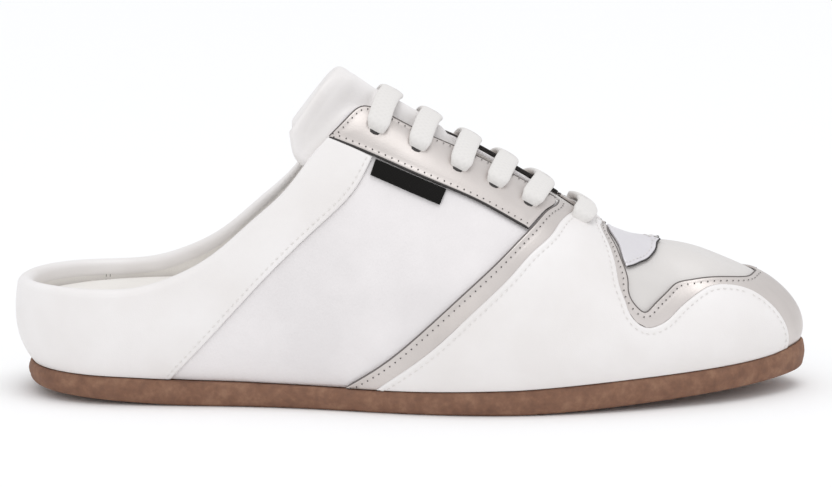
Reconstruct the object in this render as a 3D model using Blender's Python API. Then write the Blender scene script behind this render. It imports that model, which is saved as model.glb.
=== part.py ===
# Right shoe of a pair: a low leather sneaker with an open back and a lace front.
# Metres, toe along +X, outer side of the foot towards -Y, sole flat on Z = 0.
#
# The upper, its overlays, the tongue, the insole and the lace bars are all taken from one surface,
# the last. "Along" runs round the shoe: 0 at the back of the heel, 1 at the tip of the toe on the
# outer side, and on to 2 at the heel again on the inner side. "Up" runs from 0 at the edge of the
# sole to 1 at the ridge over the instep. An offset is measured outwards from that surface.

import bpy
import bmesh
import numpy as np
from mathutils import Vector
from mathutils.geometry import delaunay_2d_cdt

# Driving dimensions
LAST_LENGTH = 0.2565
BALL_WIDTH = 0.0900
INSTEP_HEIGHT = 0.1180
HEEL_BULGE = 0.0062
LAST_SHIFT = 0.0020
SOLE_THICKNESS = 0.0080
SOLE_MARGIN = 0.0010
SOLE_LOWER_ROUND = 0.0020
SOLE_UPPER_ROUND = 0.0012
TOE_SPRING = 0.0063
HEEL_LIFT = 0.0034
UPPER_WALL = 0.0020
COLLAR_WALL = 0.0040
OVERLAY_THICKNESS = 0.0009
MUDGUARD_THICKNESS = 0.0016
TAB_THICKNESS = 0.0008
INSOLE_HEEL_HEIGHT = 0.0325
INSOLE_CUP = 0.0022
TONGUE_THICKNESS = 0.0060
TONGUE_EDGE = 0.0024
LACE_WIDTH = 0.0076
LACE_THICKNESS = 0.0021
LACE_LIFT = 0.00045
GAP = 0.0003
OVERLAY_GAP = 0.0004
SOFT_GAP = 0.0008
TONGUE_GAP = 0.0019

# How far the upper lies under the finished skin of the shoe, so that overlays come out flush with it
SET_BACK = OVERLAY_THICKNESS + OVERLAY_GAP

# Mesh fineness
COLUMNS = 38
ROWS = 12
ROW_CROWDING = 1.3
SECTIONS_ACROSS = 4
PANEL_STEP = 0.0060
NODE_STEP = 0.0030
NODE_MARGIN = 0.0012
COLUMN_MARGIN = 0.2
RIM_TURNS = (45, 90, 135)
RIM_STEP = 0.0020
SHARP_ANGLE = 40

# The last, a row for each tenth of the way from heel to toe.
# lateral, medial and ridge_side are shares of BALL_WIDTH from the middle line; the bulges are shares
# of HEEL_BULGE; bulge_height is a share of INSTEP_HEIGHT; ridge_along is a share of LAST_LENGTH from
# the middle of the last; roundness is 1 for an elliptical section and less for a squarer one.
LAST_COLUMNS = ("lateral", "medial", "lateral_bulge", "medial_bulge", "bulge_height",
                "roundness", "ridge_along", "ridge_side")
LAST_TABLE = (
    (0.000, 0.000, 1.00, 1.00, 0.178, 1.00, -0.2885, 0.000),
    (0.206, 0.206, 0.90, 0.90, 0.178, 1.00, -0.2807, 0.000),
    (0.317, 0.317, 0.71, 0.71, 0.169, 1.00, -0.2534, 0.000),
    (0.350, 0.339, 0.58, 0.58, 0.153, 1.00, -0.2027, 0.000),
    (0.389, 0.317, 0.48, 0.65, 0.136, 0.97, -0.1170, 0.000),
    (0.489, 0.328, 0.39, 0.65, 0.119, 0.94, 0.0000, 0.003),
    (0.503, 0.439, 0.32, 0.39, 0.093, 0.90, 0.1209, 0.009),
    (0.406, 0.444, 0.26, 0.26, 0.085, 0.86, 0.2183, 0.016),
    (0.272, 0.344, 0.23, 0.23, 0.076, 0.82, 0.2807, 0.022),
    (0.111, 0.183, 0.19, 0.19, 0.068, 0.80, 0.3119, 0.029),
    (-0.033, 0.033, 0.19, 0.19, 0.068, 0.80, 0.3236, 0.033),
)

# The ridge over the instep and toes: place as a share of LAST_LENGTH, height as one of INSTEP_HEIGHT
RIDGE_TABLE = (
    (-0.3587, 1.000),
    (-0.2807, 0.996),
    (-0.2027, 0.970),
    (-0.1053, 0.9025),
    (-0.0078, 0.792),
    (0.1092, 0.648),
    (0.2066, 0.517),
    (0.2417, 0.468),
    (0.2729, 0.437),
    (0.3041, 0.427),
    (0.3353, 0.414),
)

# The bulge fades out from BULGE_END over BULGE_FADE; the offset's direction is level below LEVEL_BLEND
# and the ridge's own over the last RIDGE_BLEND
BULGE_END = 0.50
BULGE_FADE = 0.40
LEVEL_BLEND = 0.06
RIDGE_BLEND = 0.04

# The sole: place as a share of LAST_LENGTH, thickness as a share of SOLE_THICKNESS
SOLE_TABLE = (
    (-0.5146, 0.810),
    (-0.4600, 0.895),
    (-0.4100, 0.950),
    (-0.3587, 1.010),
    (-0.2417, 0.990),
    (-0.0468, 0.900),
    (0.1014, 1.000),
    (0.2261, 1.060),
    (0.3314, 1.030),
    (0.4094, 1.010),
    (0.4678, 1.075),
    (0.5068, 1.240),
)
TREAD_BACK = -0.280
TREAD_FRONT = 0.120
TOE_SPRING_POWER = 1.3
HEEL_LIFT_POWER = 1.4

# The footbed: place as a share of LAST_LENGTH, height of its edge as a share of INSOLE_HEEL_HEIGHT,
# depth of its cup as a share of INSOLE_CUP
INSOLE_TABLE = (
    (-0.5000, 0.945, 0.9),
    (-0.3600, 1.000, 1.0),
    (-0.2400, 0.985, 1.0),
    (-0.1600, 0.890, 0.8),
    (-0.0700, 0.725, 0.5),
    (0.0500, 0.530, 0.3),
    (0.1500, 0.455, 0.2),
    (0.2700, 0.465, 0.2),
    (0.3800, 0.520, 0.1),
    (0.4900, 0.620, 0.0),
)

# The collar, as along and up, from the back of the heel to the upper corner of the lace stay
COLLAR_TABLE = (
    (0.000, 0.148),
    (0.130, 0.150),
    (0.205, 0.151),
    (0.250, 0.160),
    (0.290, 0.188),
    (0.330, 0.242),
    (0.365, 0.325),
    (0.390, 0.405),
    (0.410, 0.510),
    (0.425, 0.610),
    (0.440, 0.730),
    (0.457, 0.803),
)

# The edge of the throat: along, how far up on the outer side, how far up on the inner side
THROAT_TABLE = (
    (0.457, 0.803, 0.803),
    (0.500, 0.802, 0.815),
    (0.531, 0.826, 0.880),
    (0.562, 0.852, 0.950),
    (0.600, 0.868, 0.972),
    (0.640, 0.906, 0.980),
    (0.673, 0.950, 0.988),
    (0.700, 1.000, 1.000),
)
COLLAR_PAD_END = 0.340
COLLAR_PAD_FADE = 0.050
COLLAR_PAD_DEPTH = 0.080

# Edges of the overlays as along and up. A name with OUTER or INNER is for that side alone, and the
# others serve both sides.
HEEL_SEAM = ((0.286, 0.000), (0.327, 0.088), (0.370, 0.195), (0.420, 0.340), (0.446, 0.445), (0.4610, 0.572))
COLLAR_CORNER = 0.418
STAY_LOWER = ((0.422, 0.583), (0.450, 0.583), (0.523, 0.583), (0.554, 0.581), (0.577, 0.567),
              (0.5970, 0.551))
STAY_FRONT_OUTER = ((0.5970, 0.551), (0.607, 0.618), (0.622, 0.720), (0.634, 0.795), (0.643, 0.880))
STAY_FRONT_INNER = ((0.5970, 0.551), (0.607, 0.618), (0.622, 0.720), (0.634, 0.795), (0.648, 0.890),
                    (0.655, 0.965))
STAY_UPPER_OUTER = ((0.643, 0.880), (0.600, 0.856), (0.562, 0.841), (0.531, 0.816), (0.500, 0.795),
                    (0.464, 0.795))
STAY_UPPER_INNER = ((0.655, 0.965), (0.600, 0.955), (0.562, 0.930), (0.531, 0.866), (0.500, 0.806),
                    (0.464, 0.795))
STAY_REAR = ((0.464, 0.795), (0.452, 0.775), (0.441, 0.715), (0.432, 0.645), (0.422, 0.583))
STRIP_REAR_OUTER = ((0.442, 0.000), (0.471, 0.048), (0.503, 0.130), (0.534, 0.235), (0.568, 0.378),
                    (0.587, 0.480), (0.599, 0.551), (0.609, 0.618), (0.624, 0.720), (0.6365, 0.795),
                    (0.6465, 0.880))
STRIP_REAR_INNER = STRIP_REAR_OUTER[:-1] + ((0.6515, 0.890), (0.6590, 0.965))
STRIP_FRONT_OUTER = ((0.6700, 0.905), (0.6600, 0.845), (0.650, 0.785), (0.631, 0.662), (0.617, 0.557),
                     (0.594, 0.432), (0.576, 0.333), (0.542, 0.193), (0.511, 0.092), (0.487, 0.037),
                     (0.467, 0.000))
STRIP_FRONT_INNER = ((0.6790, 0.965),) + STRIP_FRONT_OUTER
MUDGUARD_REAR_OUTER = ((0.4690, 0.000), (0.489, 0.037), (0.513, 0.092), (0.544, 0.193), (0.578, 0.333),
                       (0.596, 0.432), (0.619, 0.557), (0.633, 0.662), (0.652, 0.785), (0.6625, 0.845),
                       (0.6730, 0.905))
MUDGUARD_REAR_INNER = MUDGUARD_REAR_OUTER + ((0.6820, 0.965),)
MUDGUARD_FRONT = ((0.7155, 0.975), (0.7045, 0.930), (0.6930, 0.868), (0.683, 0.713), (0.676, 0.510),
                  (0.674, 0.427), (0.676, 0.340), (0.682, 0.258), (0.695, 0.231), (0.710, 0.250),
                  (0.739, 0.362), (0.762, 0.435), (0.786, 0.470), (0.820, 0.440), (0.848, 0.385),
                  (0.873, 0.280), (0.890, 0.140), (0.8990, 0.000))
TOE_TRIM_INNER = ((0.7195, 0.975), (0.7085, 0.930), (0.6970, 0.868), (0.687, 0.713), (0.680, 0.510),
                  (0.678, 0.427), (0.680, 0.343), (0.685, 0.267), (0.695, 0.239), (0.708, 0.257),
                  (0.737, 0.369), (0.760, 0.442), (0.786, 0.478), (0.822, 0.448), (0.851, 0.393),
                  (0.877, 0.284), (0.894, 0.142), (0.9030, 0.000))
TOE_TRIM_OUTER = ((1.000, 0.600), (0.967, 0.592), (0.919, 0.560), (0.877, 0.512), (0.851, 0.497),
                  (0.816, 0.515), (0.788, 0.547), (0.760, 0.560), (0.740, 0.505), (0.720, 0.420),
                  (0.706, 0.350), (0.697, 0.320), (0.690, 0.345), (0.690, 0.485), (0.694, 0.633),
                  (0.698, 0.718), (0.7070, 0.868), (0.7175, 0.930), (0.7275, 0.975))
TAB_REAR = ((0.6975, 0.590), (0.6990, 0.640), (0.7040, 0.710), (0.7110, 0.790), (0.7165, 0.868),
            (0.7225, 0.930), (0.7320, 0.975), (0.7380, 1.000))
TAB_FRONT = ((0.8720, 1.000), (0.8370, 0.950), (0.8010, 0.900), (0.7790, 0.843), (0.7610, 0.795),
             (0.7420, 0.738), (0.7240, 0.682), (0.7080, 0.624), (0.6975, 0.590))
SIDE_TAB_CORNERS = ((0.4640, 0.570), (0.5250, 0.570), (0.5190, 0.504), (0.4600, 0.512))

# The tongue: share of its own length from its free end, how far up its side edges lie
TONGUE_TABLE = (
    (0.000, 0.628),
    (0.008, 0.560),
    (0.022, 0.512),
    (0.050, 0.482),
    (0.160, 0.472),
    (0.400, 0.495),
    (0.750, 0.590),
    (1.000, 0.720),
)
TONGUE_BACK_MIDDLE = 0.411
TONGUE_BACK_SIDE = 0.387
TONGUE_FAIRING = 0.0120
TONGUE_ROW_CROWDING = 1.9
TONGUE_FRONT = 0.712
TONGUE_END_RISE = 0.0014
TONGUE_END_FADE = 0.15
TONGUE_RISE_MARGIN = 0.065
TONGUE_RISE_REACH = 0.110
TONGUE_BACK_REACH = 0.120
TONGUE_BACK_FADE = 0.070
TONGUE_RIM_SIDE = 0.35
TONGUE_RIM_END = 0.10
TONGUE_RIM_LEAST = 0.25
TONGUE_ROWS = 13
TONGUE_SECTIONS = 12

# The lace bars: where each one lies at its two ends and over the middle, and how far up its ends come
LACE_COLUMNS = ("end_along", "middle_along", "end_up")
LACE_TABLE = (
    (0.463, 0.472, 0.680),
    (0.500, 0.513, 0.692),
    (0.537, 0.554, 0.692),
    (0.570, 0.594, 0.700),
    (0.602, 0.637, 0.692),
    (0.657, 0.693, 0.762),
)

# Section of a lace bar from its underside: shares of its width and of its thickness
LACE_PROFILE = (
    (-0.50, 0.25),
    (-0.32, 0.82),
    (0.00, 1.00),
    (0.32, 0.82),
    (0.50, 0.25),
    (0.42, 0.00),
    (-0.42, 0.00),
)
LACE_END_WIDTH = 0.75
LACE_END_REACH = 0.15
LACE_STEPS = 10

# Colours and finishes: colour, roughness, metallic
FINISHES = {
    "crepe_rubber": ((0.26, 0.15, 0.09), 0.85, 0.0),
    "white_leather": ((0.84, 0.81, 0.80), 0.45, 0.0),
    "silver_leather": ((0.68, 0.65, 0.63), 0.32, 0.6),
    "lining_leather": ((0.74, 0.72, 0.69), 0.60, 0.0),
    "flat_lace": ((0.88, 0.87, 0.86), 0.75, 0.0),
    "woven_tab": ((0.03, 0.027, 0.024), 0.80, 0.0),
}


def natural_spline(xs, ys, x, slope=False):
    """Smooth curve through the points (xs, ys), read at x; its slope there if asked."""
    xs = np.asarray(xs, float)
    ys = np.asarray(ys, float)
    count = len(xs)
    step = np.diff(xs)
    matrix = np.eye(count)
    right = np.zeros(count)
    for i in range(1, count - 1):
        matrix[i, i - 1:i + 2] = step[i - 1], 2 * (step[i - 1] + step[i]), step[i]
        right[i] = 6 * ((ys[i + 1] - ys[i]) / step[i] - (ys[i] - ys[i - 1]) / step[i - 1])
    bend = np.linalg.solve(matrix, right)
    x = np.asarray(x, float)
    i = np.clip(np.searchsorted(xs, x) - 1, 0, count - 2)
    after = x - xs[i]
    before = xs[i + 1] - x
    width = step[i]
    if slope:
        curved = (bend[i + 1] * after ** 2 - bend[i] * before ** 2) / (2 * width)
        return curved + (ys[i + 1] - ys[i]) / width - (bend[i + 1] - bend[i]) * width / 6
    cubic = (bend[i] * before ** 3 + bend[i + 1] * after ** 3) / (6 * width)
    line = (ys[i] / width - bend[i] * width / 6) * before
    line = line + (ys[i + 1] / width - bend[i + 1] * width / 6) * after
    return cubic + line


def round_spline(lateral, medial, along, slope=False):
    """Closed smooth curve round the shoe through evenly spaced values, heel to toe on each side."""
    values = np.concatenate([lateral, medial[-2:0:-1]])
    count = len(values)
    step = 2.0 / count
    matrix = np.roll(np.eye(count), 1, 0) + np.roll(np.eye(count), -1, 0) + 4 * np.eye(count)
    right = 6 * (np.roll(values, -1) - 2 * values + np.roll(values, 1)) / step ** 2
    bend = np.linalg.solve(matrix, right)
    along = np.mod(np.asarray(along, float), 2.0)
    i = np.minimum((along / step).astype(int), count - 1)
    j = (i + 1) % count
    after = along - i * step
    before = step - after
    if slope:
        curved = (bend[j] * after ** 2 - bend[i] * before ** 2) / (2 * step)
        return curved + (values[j] - values[i]) / step - (bend[j] - bend[i]) * step / 6
    cubic = (bend[i] * before ** 3 + bend[j] * after ** 3) / (6 * step)
    line = (values[i] / step - bend[i] * step / 6) * before + (values[j] / step - bend[j] * step / 6) * after
    return cubic + line


def last_value(lateral_name, medial_name, along, scale=1.0, slope=False):
    """A column of the last's table, read round the shoe and scaled to a named size."""
    table = np.array(LAST_TABLE)
    lateral = table[:, LAST_COLUMNS.index(lateral_name)] * scale
    medial = table[:, LAST_COLUMNS.index(medial_name)] * scale
    return round_spline(lateral, medial, along, slope)


def place_along(share):
    """X of a place given as a share of the last's length from its middle."""
    return LAST_SHIFT + np.asarray(share, float) * LAST_LENGTH


def smooth_step(value):
    """0 below 0, 1 above 1, and a soft rise between."""
    value = np.clip(value, 0.0, 1.0)
    return value * value * (3.0 - 2.0 * value)


def outline(along):
    """Edge of the sole seen from above: points and outward directions."""
    along = np.asarray(along, float)
    table = np.array(LAST_TABLE)
    lateral = -table[:, 0] * BALL_WIDTH
    medial = table[:, 1] * BALL_WIDTH
    x = LAST_SHIFT - LAST_LENGTH / 2 * np.cos(np.pi * along)
    y = round_spline(lateral, medial, along)
    run_x = LAST_LENGTH / 2 * np.pi * np.sin(np.pi * along)
    run_y = round_spline(lateral, medial, along, slope=True)
    length = np.hypot(run_x, run_y) + 1e-12
    return x, y, run_y / length, -run_x / length


def sole_bottom(x):
    """Underside of the sole: flat along the tread, rising at the toe and a little at the heel."""
    share = (np.asarray(x, float) - LAST_SHIFT) / LAST_LENGTH
    toe = np.clip((share - TREAD_FRONT) / (0.5 - TREAD_FRONT), 0.0, None) ** TOE_SPRING_POWER
    heel = np.clip((TREAD_BACK - share) / (0.5 + TREAD_BACK), 0.0, None) ** HEEL_LIFT_POWER
    return TOE_SPRING * toe + HEEL_LIFT * heel


def sole_top(x):
    """Top of the sole, on which the upper stands."""
    table = np.array(SOLE_TABLE)
    thickness = natural_spline(place_along(table[:, 0]), table[:, 1] * SOLE_THICKNESS, x)
    return sole_bottom(x) + thickness


def last_surface(along, up):
    """Finished skin of the shoe: a quarter of an ellipse from the sole's edge up to the ridge, with a bulge.

    Height and distance in follow sine and cosine of up, to the power roundness.
    """
    along, up = np.broadcast_arrays(np.asarray(along, float), np.asarray(up, float))
    foot_x, foot_y, out_x, out_y = outline(along)
    foot_z = sole_top(foot_x) + GAP
    top_x, top_y, top_z, top_slope = ridge_line(along)
    roundness = last_value("roundness", "roundness", along)
    corner_drop = top_slope * (foot_x - top_x)
    angle = np.clip(up, 0.0, 1.0) * np.pi / 2
    outward = np.clip(np.cos(angle), 0.0, None) ** roundness
    upward = np.sin(angle) ** roundness
    x = top_x + (foot_x - top_x) * outward
    y = top_y + (foot_y - top_y) * outward
    z = foot_z - corner_drop + corner_drop * outward + (top_z - foot_z + corner_drop) * upward
    bulge = last_value("lateral_bulge", "medial_bulge", along, HEEL_BULGE)
    height = last_value("bulge_height", "bulge_height", along, INSTEP_HEIGHT)
    rise = np.clip(z - foot_z, 0.0, None) / height
    push = bulge * rise * np.exp(1 - rise) * (1 - smooth_step((up - BULGE_END) / BULGE_FADE))
    return np.stack([x + out_x * push, y + out_y * push, z], -1)


def ridge_line(along):
    """The ridge point above each place along the shoe, and the ridge's slope there."""
    table = np.array(RIDGE_TABLE)
    places = place_along(table[:, 0])
    heights = table[:, 1] * INSTEP_HEIGHT
    x = LAST_SHIFT + last_value("ridge_along", "ridge_along", along, LAST_LENGTH)
    y = last_value("ridge_side", "ridge_side", along, BALL_WIDTH)
    return x, y, natural_spline(places, heights, x), natural_spline(places, heights, x, slope=True)


def ridge_normal(along):
    """Direction straight out of the ridge, the same on both sides of it."""
    slope = ridge_line(along)[3]
    normal = np.stack([-slope, np.zeros_like(slope), np.ones_like(slope)], -1)
    return normal / np.linalg.norm(normal, axis=-1, keepdims=True)


def skin(along, up, offset):
    """Point on the last moved outwards by the offset; level at the sole's edge."""
    along, up, offset = np.broadcast_arrays(*(np.asarray(v, float) for v in (along, up, offset)))
    small = 2e-4
    near = np.clip(up, 1e-3, 1 - 2e-3)
    off_toe = np.where(np.abs(along - 1) < 1e-3, 1 - 1e-3, along)
    forward = last_surface(off_toe + small, near) - last_surface(off_toe - small, near)
    upward = last_surface(off_toe, near + small) - last_surface(off_toe, near - small)
    normal = np.cross(forward, upward)
    normal /= np.linalg.norm(normal, axis=-1, keepdims=True) + 1e-15
    foot_x, foot_y, out_x, out_y = outline(along)
    level = np.stack([out_x, out_y, np.zeros_like(out_x)], -1)
    share = smooth_step(up / LEVEL_BLEND)[..., None]
    normal = level * (1 - share) + normal * share
    share = smooth_step((up - 1 + RIDGE_BLEND) / RIDGE_BLEND)[..., None]
    normal = normal * (1 - share) + ridge_normal(along) * share
    normal /= np.linalg.norm(normal, axis=-1, keepdims=True)
    return last_surface(along, up) + normal * offset[..., None]


def folded(along):
    """Along measured from the heel on either side, 0 to 1."""
    along = np.mod(np.asarray(along, float), 2.0)
    return np.minimum(along, 2.0 - along)


def collar_up(along):
    """How far up the upper reaches: the collar, then the edge of the throat, then the ridge."""
    side = folded(along)
    collar_table = np.array(COLLAR_TABLE)
    throat_table = np.array(THROAT_TABLE)
    collar = natural_spline(collar_table[:, 0], collar_table[:, 1], side)
    outer = natural_spline(throat_table[:, 0], throat_table[:, 1], side)
    inner = natural_spline(throat_table[:, 0], throat_table[:, 2], side)
    throat = np.where(np.mod(along, 2.0) > 1.0, inner, outer)
    throat = np.where(side >= throat_table[-1, 0], 1.0, np.minimum(throat, 1.0))
    return np.where(side < throat_table[0, 0], np.minimum(collar, throat_table[0, 1]), throat)


def row_share(row):
    """How far up its side a row of the upper's grid lies; the rows crowd towards the sole."""
    return (row / ROWS) ** ROW_CROWDING


def wall_inside(along, up):
    """Offset of the upper's inner face: one leather wall, padded along the collar."""
    padded = 1 - smooth_step((folded(along) - COLLAR_PAD_END) / COLLAR_PAD_FADE)
    near_top = smooth_step((up - collar_up(along) + COLLAR_PAD_DEPTH) / COLLAR_PAD_DEPTH)
    return -SET_BACK - UPPER_WALL - (COLLAR_WALL - UPPER_WALL) * padded * near_top


def make_material(name):
    """Plain Principled material for the solids."""
    colour, roughness, metallic = FINISHES[name]
    material = bpy.data.materials.new(name)
    material.use_nodes = True
    shader = material.node_tree.nodes["Principled BSDF"]
    shader.inputs["Base Color"].default_value = (*colour, 1.0)
    shader.inputs["Roughness"].default_value = roughness
    shader.inputs["Metallic"].default_value = metallic
    return material


def add_solid(name, points, faces, materials, finish):
    """One closed solid from its points and faces, smooth but for its sharp edges."""
    mesh = bpy.data.meshes.new(name)
    mesh.from_pydata([tuple(p) for p in points], [], faces)
    work = bmesh.new()
    work.from_mesh(mesh)
    bmesh.ops.remove_doubles(work, verts=work.verts, dist=1e-6)
    bmesh.ops.dissolve_degenerate(work, dist=1e-7, edges=work.edges)
    bmesh.ops.recalc_face_normals(work, faces=work.faces)
    work.to_mesh(mesh)
    work.free()
    mesh.shade_smooth()
    mesh.set_sharp_from_angle(angle=np.radians(SHARP_ANGLE))
    solid = bpy.data.objects.new(name, mesh)
    solid.data.materials.append(materials[finish])
    bpy.context.scene.collection.objects.link(solid)
    return solid


def ring_faces(start, count, rings):
    """Faces between closed rings of points that follow one another."""
    faces = []
    for ring in range(rings - 1):
        for i in range(count):
            j = (i + 1) % count
            low = start + ring * count
            high = low + count
            faces.append((low + i, low + j, high + j, high + i))
    return faces


def cross_faces(points, ring_start, half, sections, heights):
    """Close a ring with strips across the shoe; heights gives z at (x, share across)."""
    count = 2 * half
    faces = []
    rows = []
    for i in range(half + 1):
        lateral = ring_start + i
        medial = ring_start + (count - i) % count
        row = [lateral]
        if lateral != medial:
            for k in range(1, sections):
                share = k / sections
                middle = np.array(points[lateral]) * (1 - share) + np.array(points[medial]) * share
                middle[2] = heights(middle[0], share)
                row.append(len(points))
                points.append(middle)
        row.append(medial)
        rows.append(row)
    for i in range(half):
        first, second = rows[i], rows[i + 1]
        if first[0] == first[-1]:
            first = [first[0]] * (sections + 1)
        if second[0] == second[-1]:
            second = [second[0]] * (sections + 1)
        for k in range(sections):
            face = [first[k], second[k], second[k + 1], first[k + 1]]
            face = [v for n, v in enumerate(face) if v != face[n - 1]]
            if len(face) > 2:
                faces.append(tuple(face))
    return faces


def make_outsole(materials):
    """Thin rubber sole: its side is round at both edges, its tread flat from heel to ball."""
    along = np.linspace(0, 2, 2 * COLUMNS, endpoint=False)
    x, y, out_x, out_y = outline(along)
    profile = []
    for turn in (0, 45, 90):
        angle = np.radians(turn)
        inset = SOLE_LOWER_ROUND * (np.sin(angle) - 1)
        profile.append((inset, SOLE_LOWER_ROUND * (1 - np.cos(angle)), False))
    profile.append((0.0, -SOLE_UPPER_ROUND, True))
    profile.append((-SOLE_UPPER_ROUND, 0.0, True))
    points = []
    for inset, rise, at_top in profile:
        edge_x = x + out_x * (SOLE_MARGIN + inset)
        edge_y = y + out_y * (SOLE_MARGIN + inset)
        edge_z = (sole_top(x) if at_top else sole_bottom(edge_x)) + rise
        if at_top and rise == 0.0:
            edge_z = np.minimum(edge_z, sole_top(edge_x))
        points.extend(np.stack([edge_x, edge_y, edge_z], -1))
    count = len(along)
    faces = ring_faces(0, count, len(profile))
    faces += cross_faces(points, 0, COLUMNS, 1, None)
    faces += cross_faces(points, (len(profile) - 1) * count, COLUMNS, 1, None)
    return add_solid("outsole", points, faces, materials, "crepe_rubber")


def make_insole(materials):
    """Footbed in one piece: thick and cupped under the heel, thin under the toes."""
    along = np.linspace(0, 2, 2 * COLUMNS, endpoint=False)
    table = np.array(INSOLE_TABLE)
    places = place_along(table[:, 0])
    levels = np.linspace(0.0, 0.5, 101)
    grid_along, grid_up = np.meshgrid(along, levels, indexing="ij")
    side = skin(grid_along, grid_up, wall_inside(grid_along, grid_up) - SOFT_GAP)
    wanted = natural_spline(places, table[:, 1] * INSOLE_HEEL_HEIGHT, side[..., 0])
    reach = np.argmax(side[..., 2] > wanted, axis=1)
    top_up = levels[reach]
    points = []
    rings = 4
    for ring in range(rings):
        up = top_up * ring / (rings - 1)
        points.extend(skin(along, up, wall_inside(along, up) - SOFT_GAP))

    def top_height(x, share):
        edge = natural_spline(places, table[:, 1] * INSOLE_HEEL_HEIGHT, x)
        cup = natural_spline(places, table[:, 2] * INSOLE_CUP, x)
        return float(edge - cup * (1 - (2 * share - 1) ** 2))

    faces = ring_faces(0, len(along), rings)
    faces += cross_faces(points, 0, COLUMNS, 1, None)
    faces += cross_faces(points, (rings - 1) * len(along), COLUMNS, SECTIONS_ACROSS, top_height)
    return add_solid("insole", points, faces, materials, "lining_leather")


def make_upper(materials):
    """Hollow leather shell, open below, at the collar and at the throat, with a rounded rim."""
    count = 2 * COLUMNS
    along = np.linspace(0, 2, count, endpoint=False)
    top = collar_up(along)
    points = []
    for row in range(ROWS + 1):
        up = top * row_share(row)
        points.extend(skin(along, up, -SET_BACK))
    inside = wall_inside(along, top)
    wall = -SET_BACK - inside
    closed = top > 1 - 1e-6
    lower = skin(along, top - RIM_STEP, inside / 2 - SET_BACK / 2)
    middle = skin(along, top, inside / 2 - SET_BACK / 2)
    rise = middle - lower
    rise /= np.linalg.norm(rise, axis=-1, keepdims=True)
    outer = skin(along, top, -SET_BACK)
    inner = skin(along, top, inside)
    for turn in RIM_TURNS:
        share = (1 - np.cos(np.radians(turn))) / 2
        lift = np.where(closed, 0.0, np.sin(np.radians(turn)) * wall / 2)[:, None]
        points.extend(outer * (1 - share) + inner * share + rise * lift)
    for row in range(ROWS, -1, -1):
        up = top * row_share(row)
        points.extend(skin(along, up, wall_inside(along, up)))
    faces = []
    rings = 2 * (ROWS + 1) + len(RIM_TURNS)
    for ring in range(rings):
        following = (ring + 1) % rings
        for i in range(count):
            j = (i + 1) % count
            over_rim = ROWS <= ring <= ROWS + len(RIM_TURNS)
            if over_rim and closed[i] and closed[j]:
                continue
            faces.append((ring * count + i, ring * count + j, following * count + j, following * count + i))
    return add_solid("upper", points, faces, materials, "white_leather")


def smooth_edge(corners, straight=False):
    """Evenly stepped curve through a short list of (along, up) points."""
    scale = np.array([LAST_LENGTH * 1.5, INSTEP_HEIGHT])
    corners = np.array(corners)
    lengths = np.linalg.norm(np.diff(corners, axis=0) * scale, axis=1)
    places = np.concatenate([[0.0], np.cumsum(lengths)])
    steps = max(2, int(np.ceil(places[-1] / PANEL_STEP)) + 1)
    read = np.linspace(0, places[-1], steps)
    if straight or len(corners) == 2:
        return np.stack([np.interp(read, places, corners[:, k]) for k in (0, 1)], -1)
    return np.stack([natural_spline(places, corners[:, k], read) for k in (0, 1)], -1)


def mirrored(edge, turn=2.0):
    """The same edge on the inner side, in the opposite order."""
    other = np.array(edge)[::-1].copy()
    other[:, 0] = turn - other[:, 0]
    return other


def closed_outline(edges):
    """Edges end to end as one loop, each shared corner once."""
    return np.concatenate([edge[:-1] for edge in edges])


def foot_edge(start, end):
    """Level edge at the sole, with a point at each column of the upper's grid."""
    columns = np.arange(int(np.floor(start * COLUMNS)) + 1, int(np.ceil(end * COLUMNS))) / COLUMNS
    margin = COLUMN_MARGIN / COLUMNS
    columns = columns[(columns > start + margin) & (columns < end - margin)]
    along = np.concatenate([[start], columns, [end]])
    return np.stack([along, np.zeros_like(along)], -1)


def grid_nodes():
    """The upper's own grid of (along, up), which overlays share so that they lie evenly on it."""
    nodes = []
    for along in np.arange(-COLUMNS, 2 * COLUMNS + 1) / COLUMNS:
        top = float(collar_up(along))
        reached = 0.0
        for row in range(1, ROWS + 1):
            up = top * row_share(row)
            if (up - reached) * INSTEP_HEIGHT > NODE_STEP or row == ROWS:
                nodes.append((along, up))
                reached = up
    return np.array(nodes)


def inside_loop(nodes, loop, margin):
    """The nodes that lie inside a loop, at least the margin away from it."""
    following = np.roll(loop, -1, 0)
    within = np.zeros(len(nodes), bool)
    distance = np.full(len(nodes), 1e9)
    for start, end in zip(loop, following):
        crosses = (start[1] > nodes[:, 1]) != (end[1] > nodes[:, 1])
        slope = (end[0] - start[0]) / (end[1] - start[1] + 1e-15)
        left = nodes[:, 0] < start[0] + (nodes[:, 1] - start[1]) * slope
        within ^= crosses & left
        run = end - start
        share = np.clip((nodes - start) @ run / (run @ run + 1e-15), 0, 1)
        distance = np.minimum(distance, np.linalg.norm(nodes - start - share[:, None] * run, axis=1))
    return nodes[within & (distance > margin)]


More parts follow.
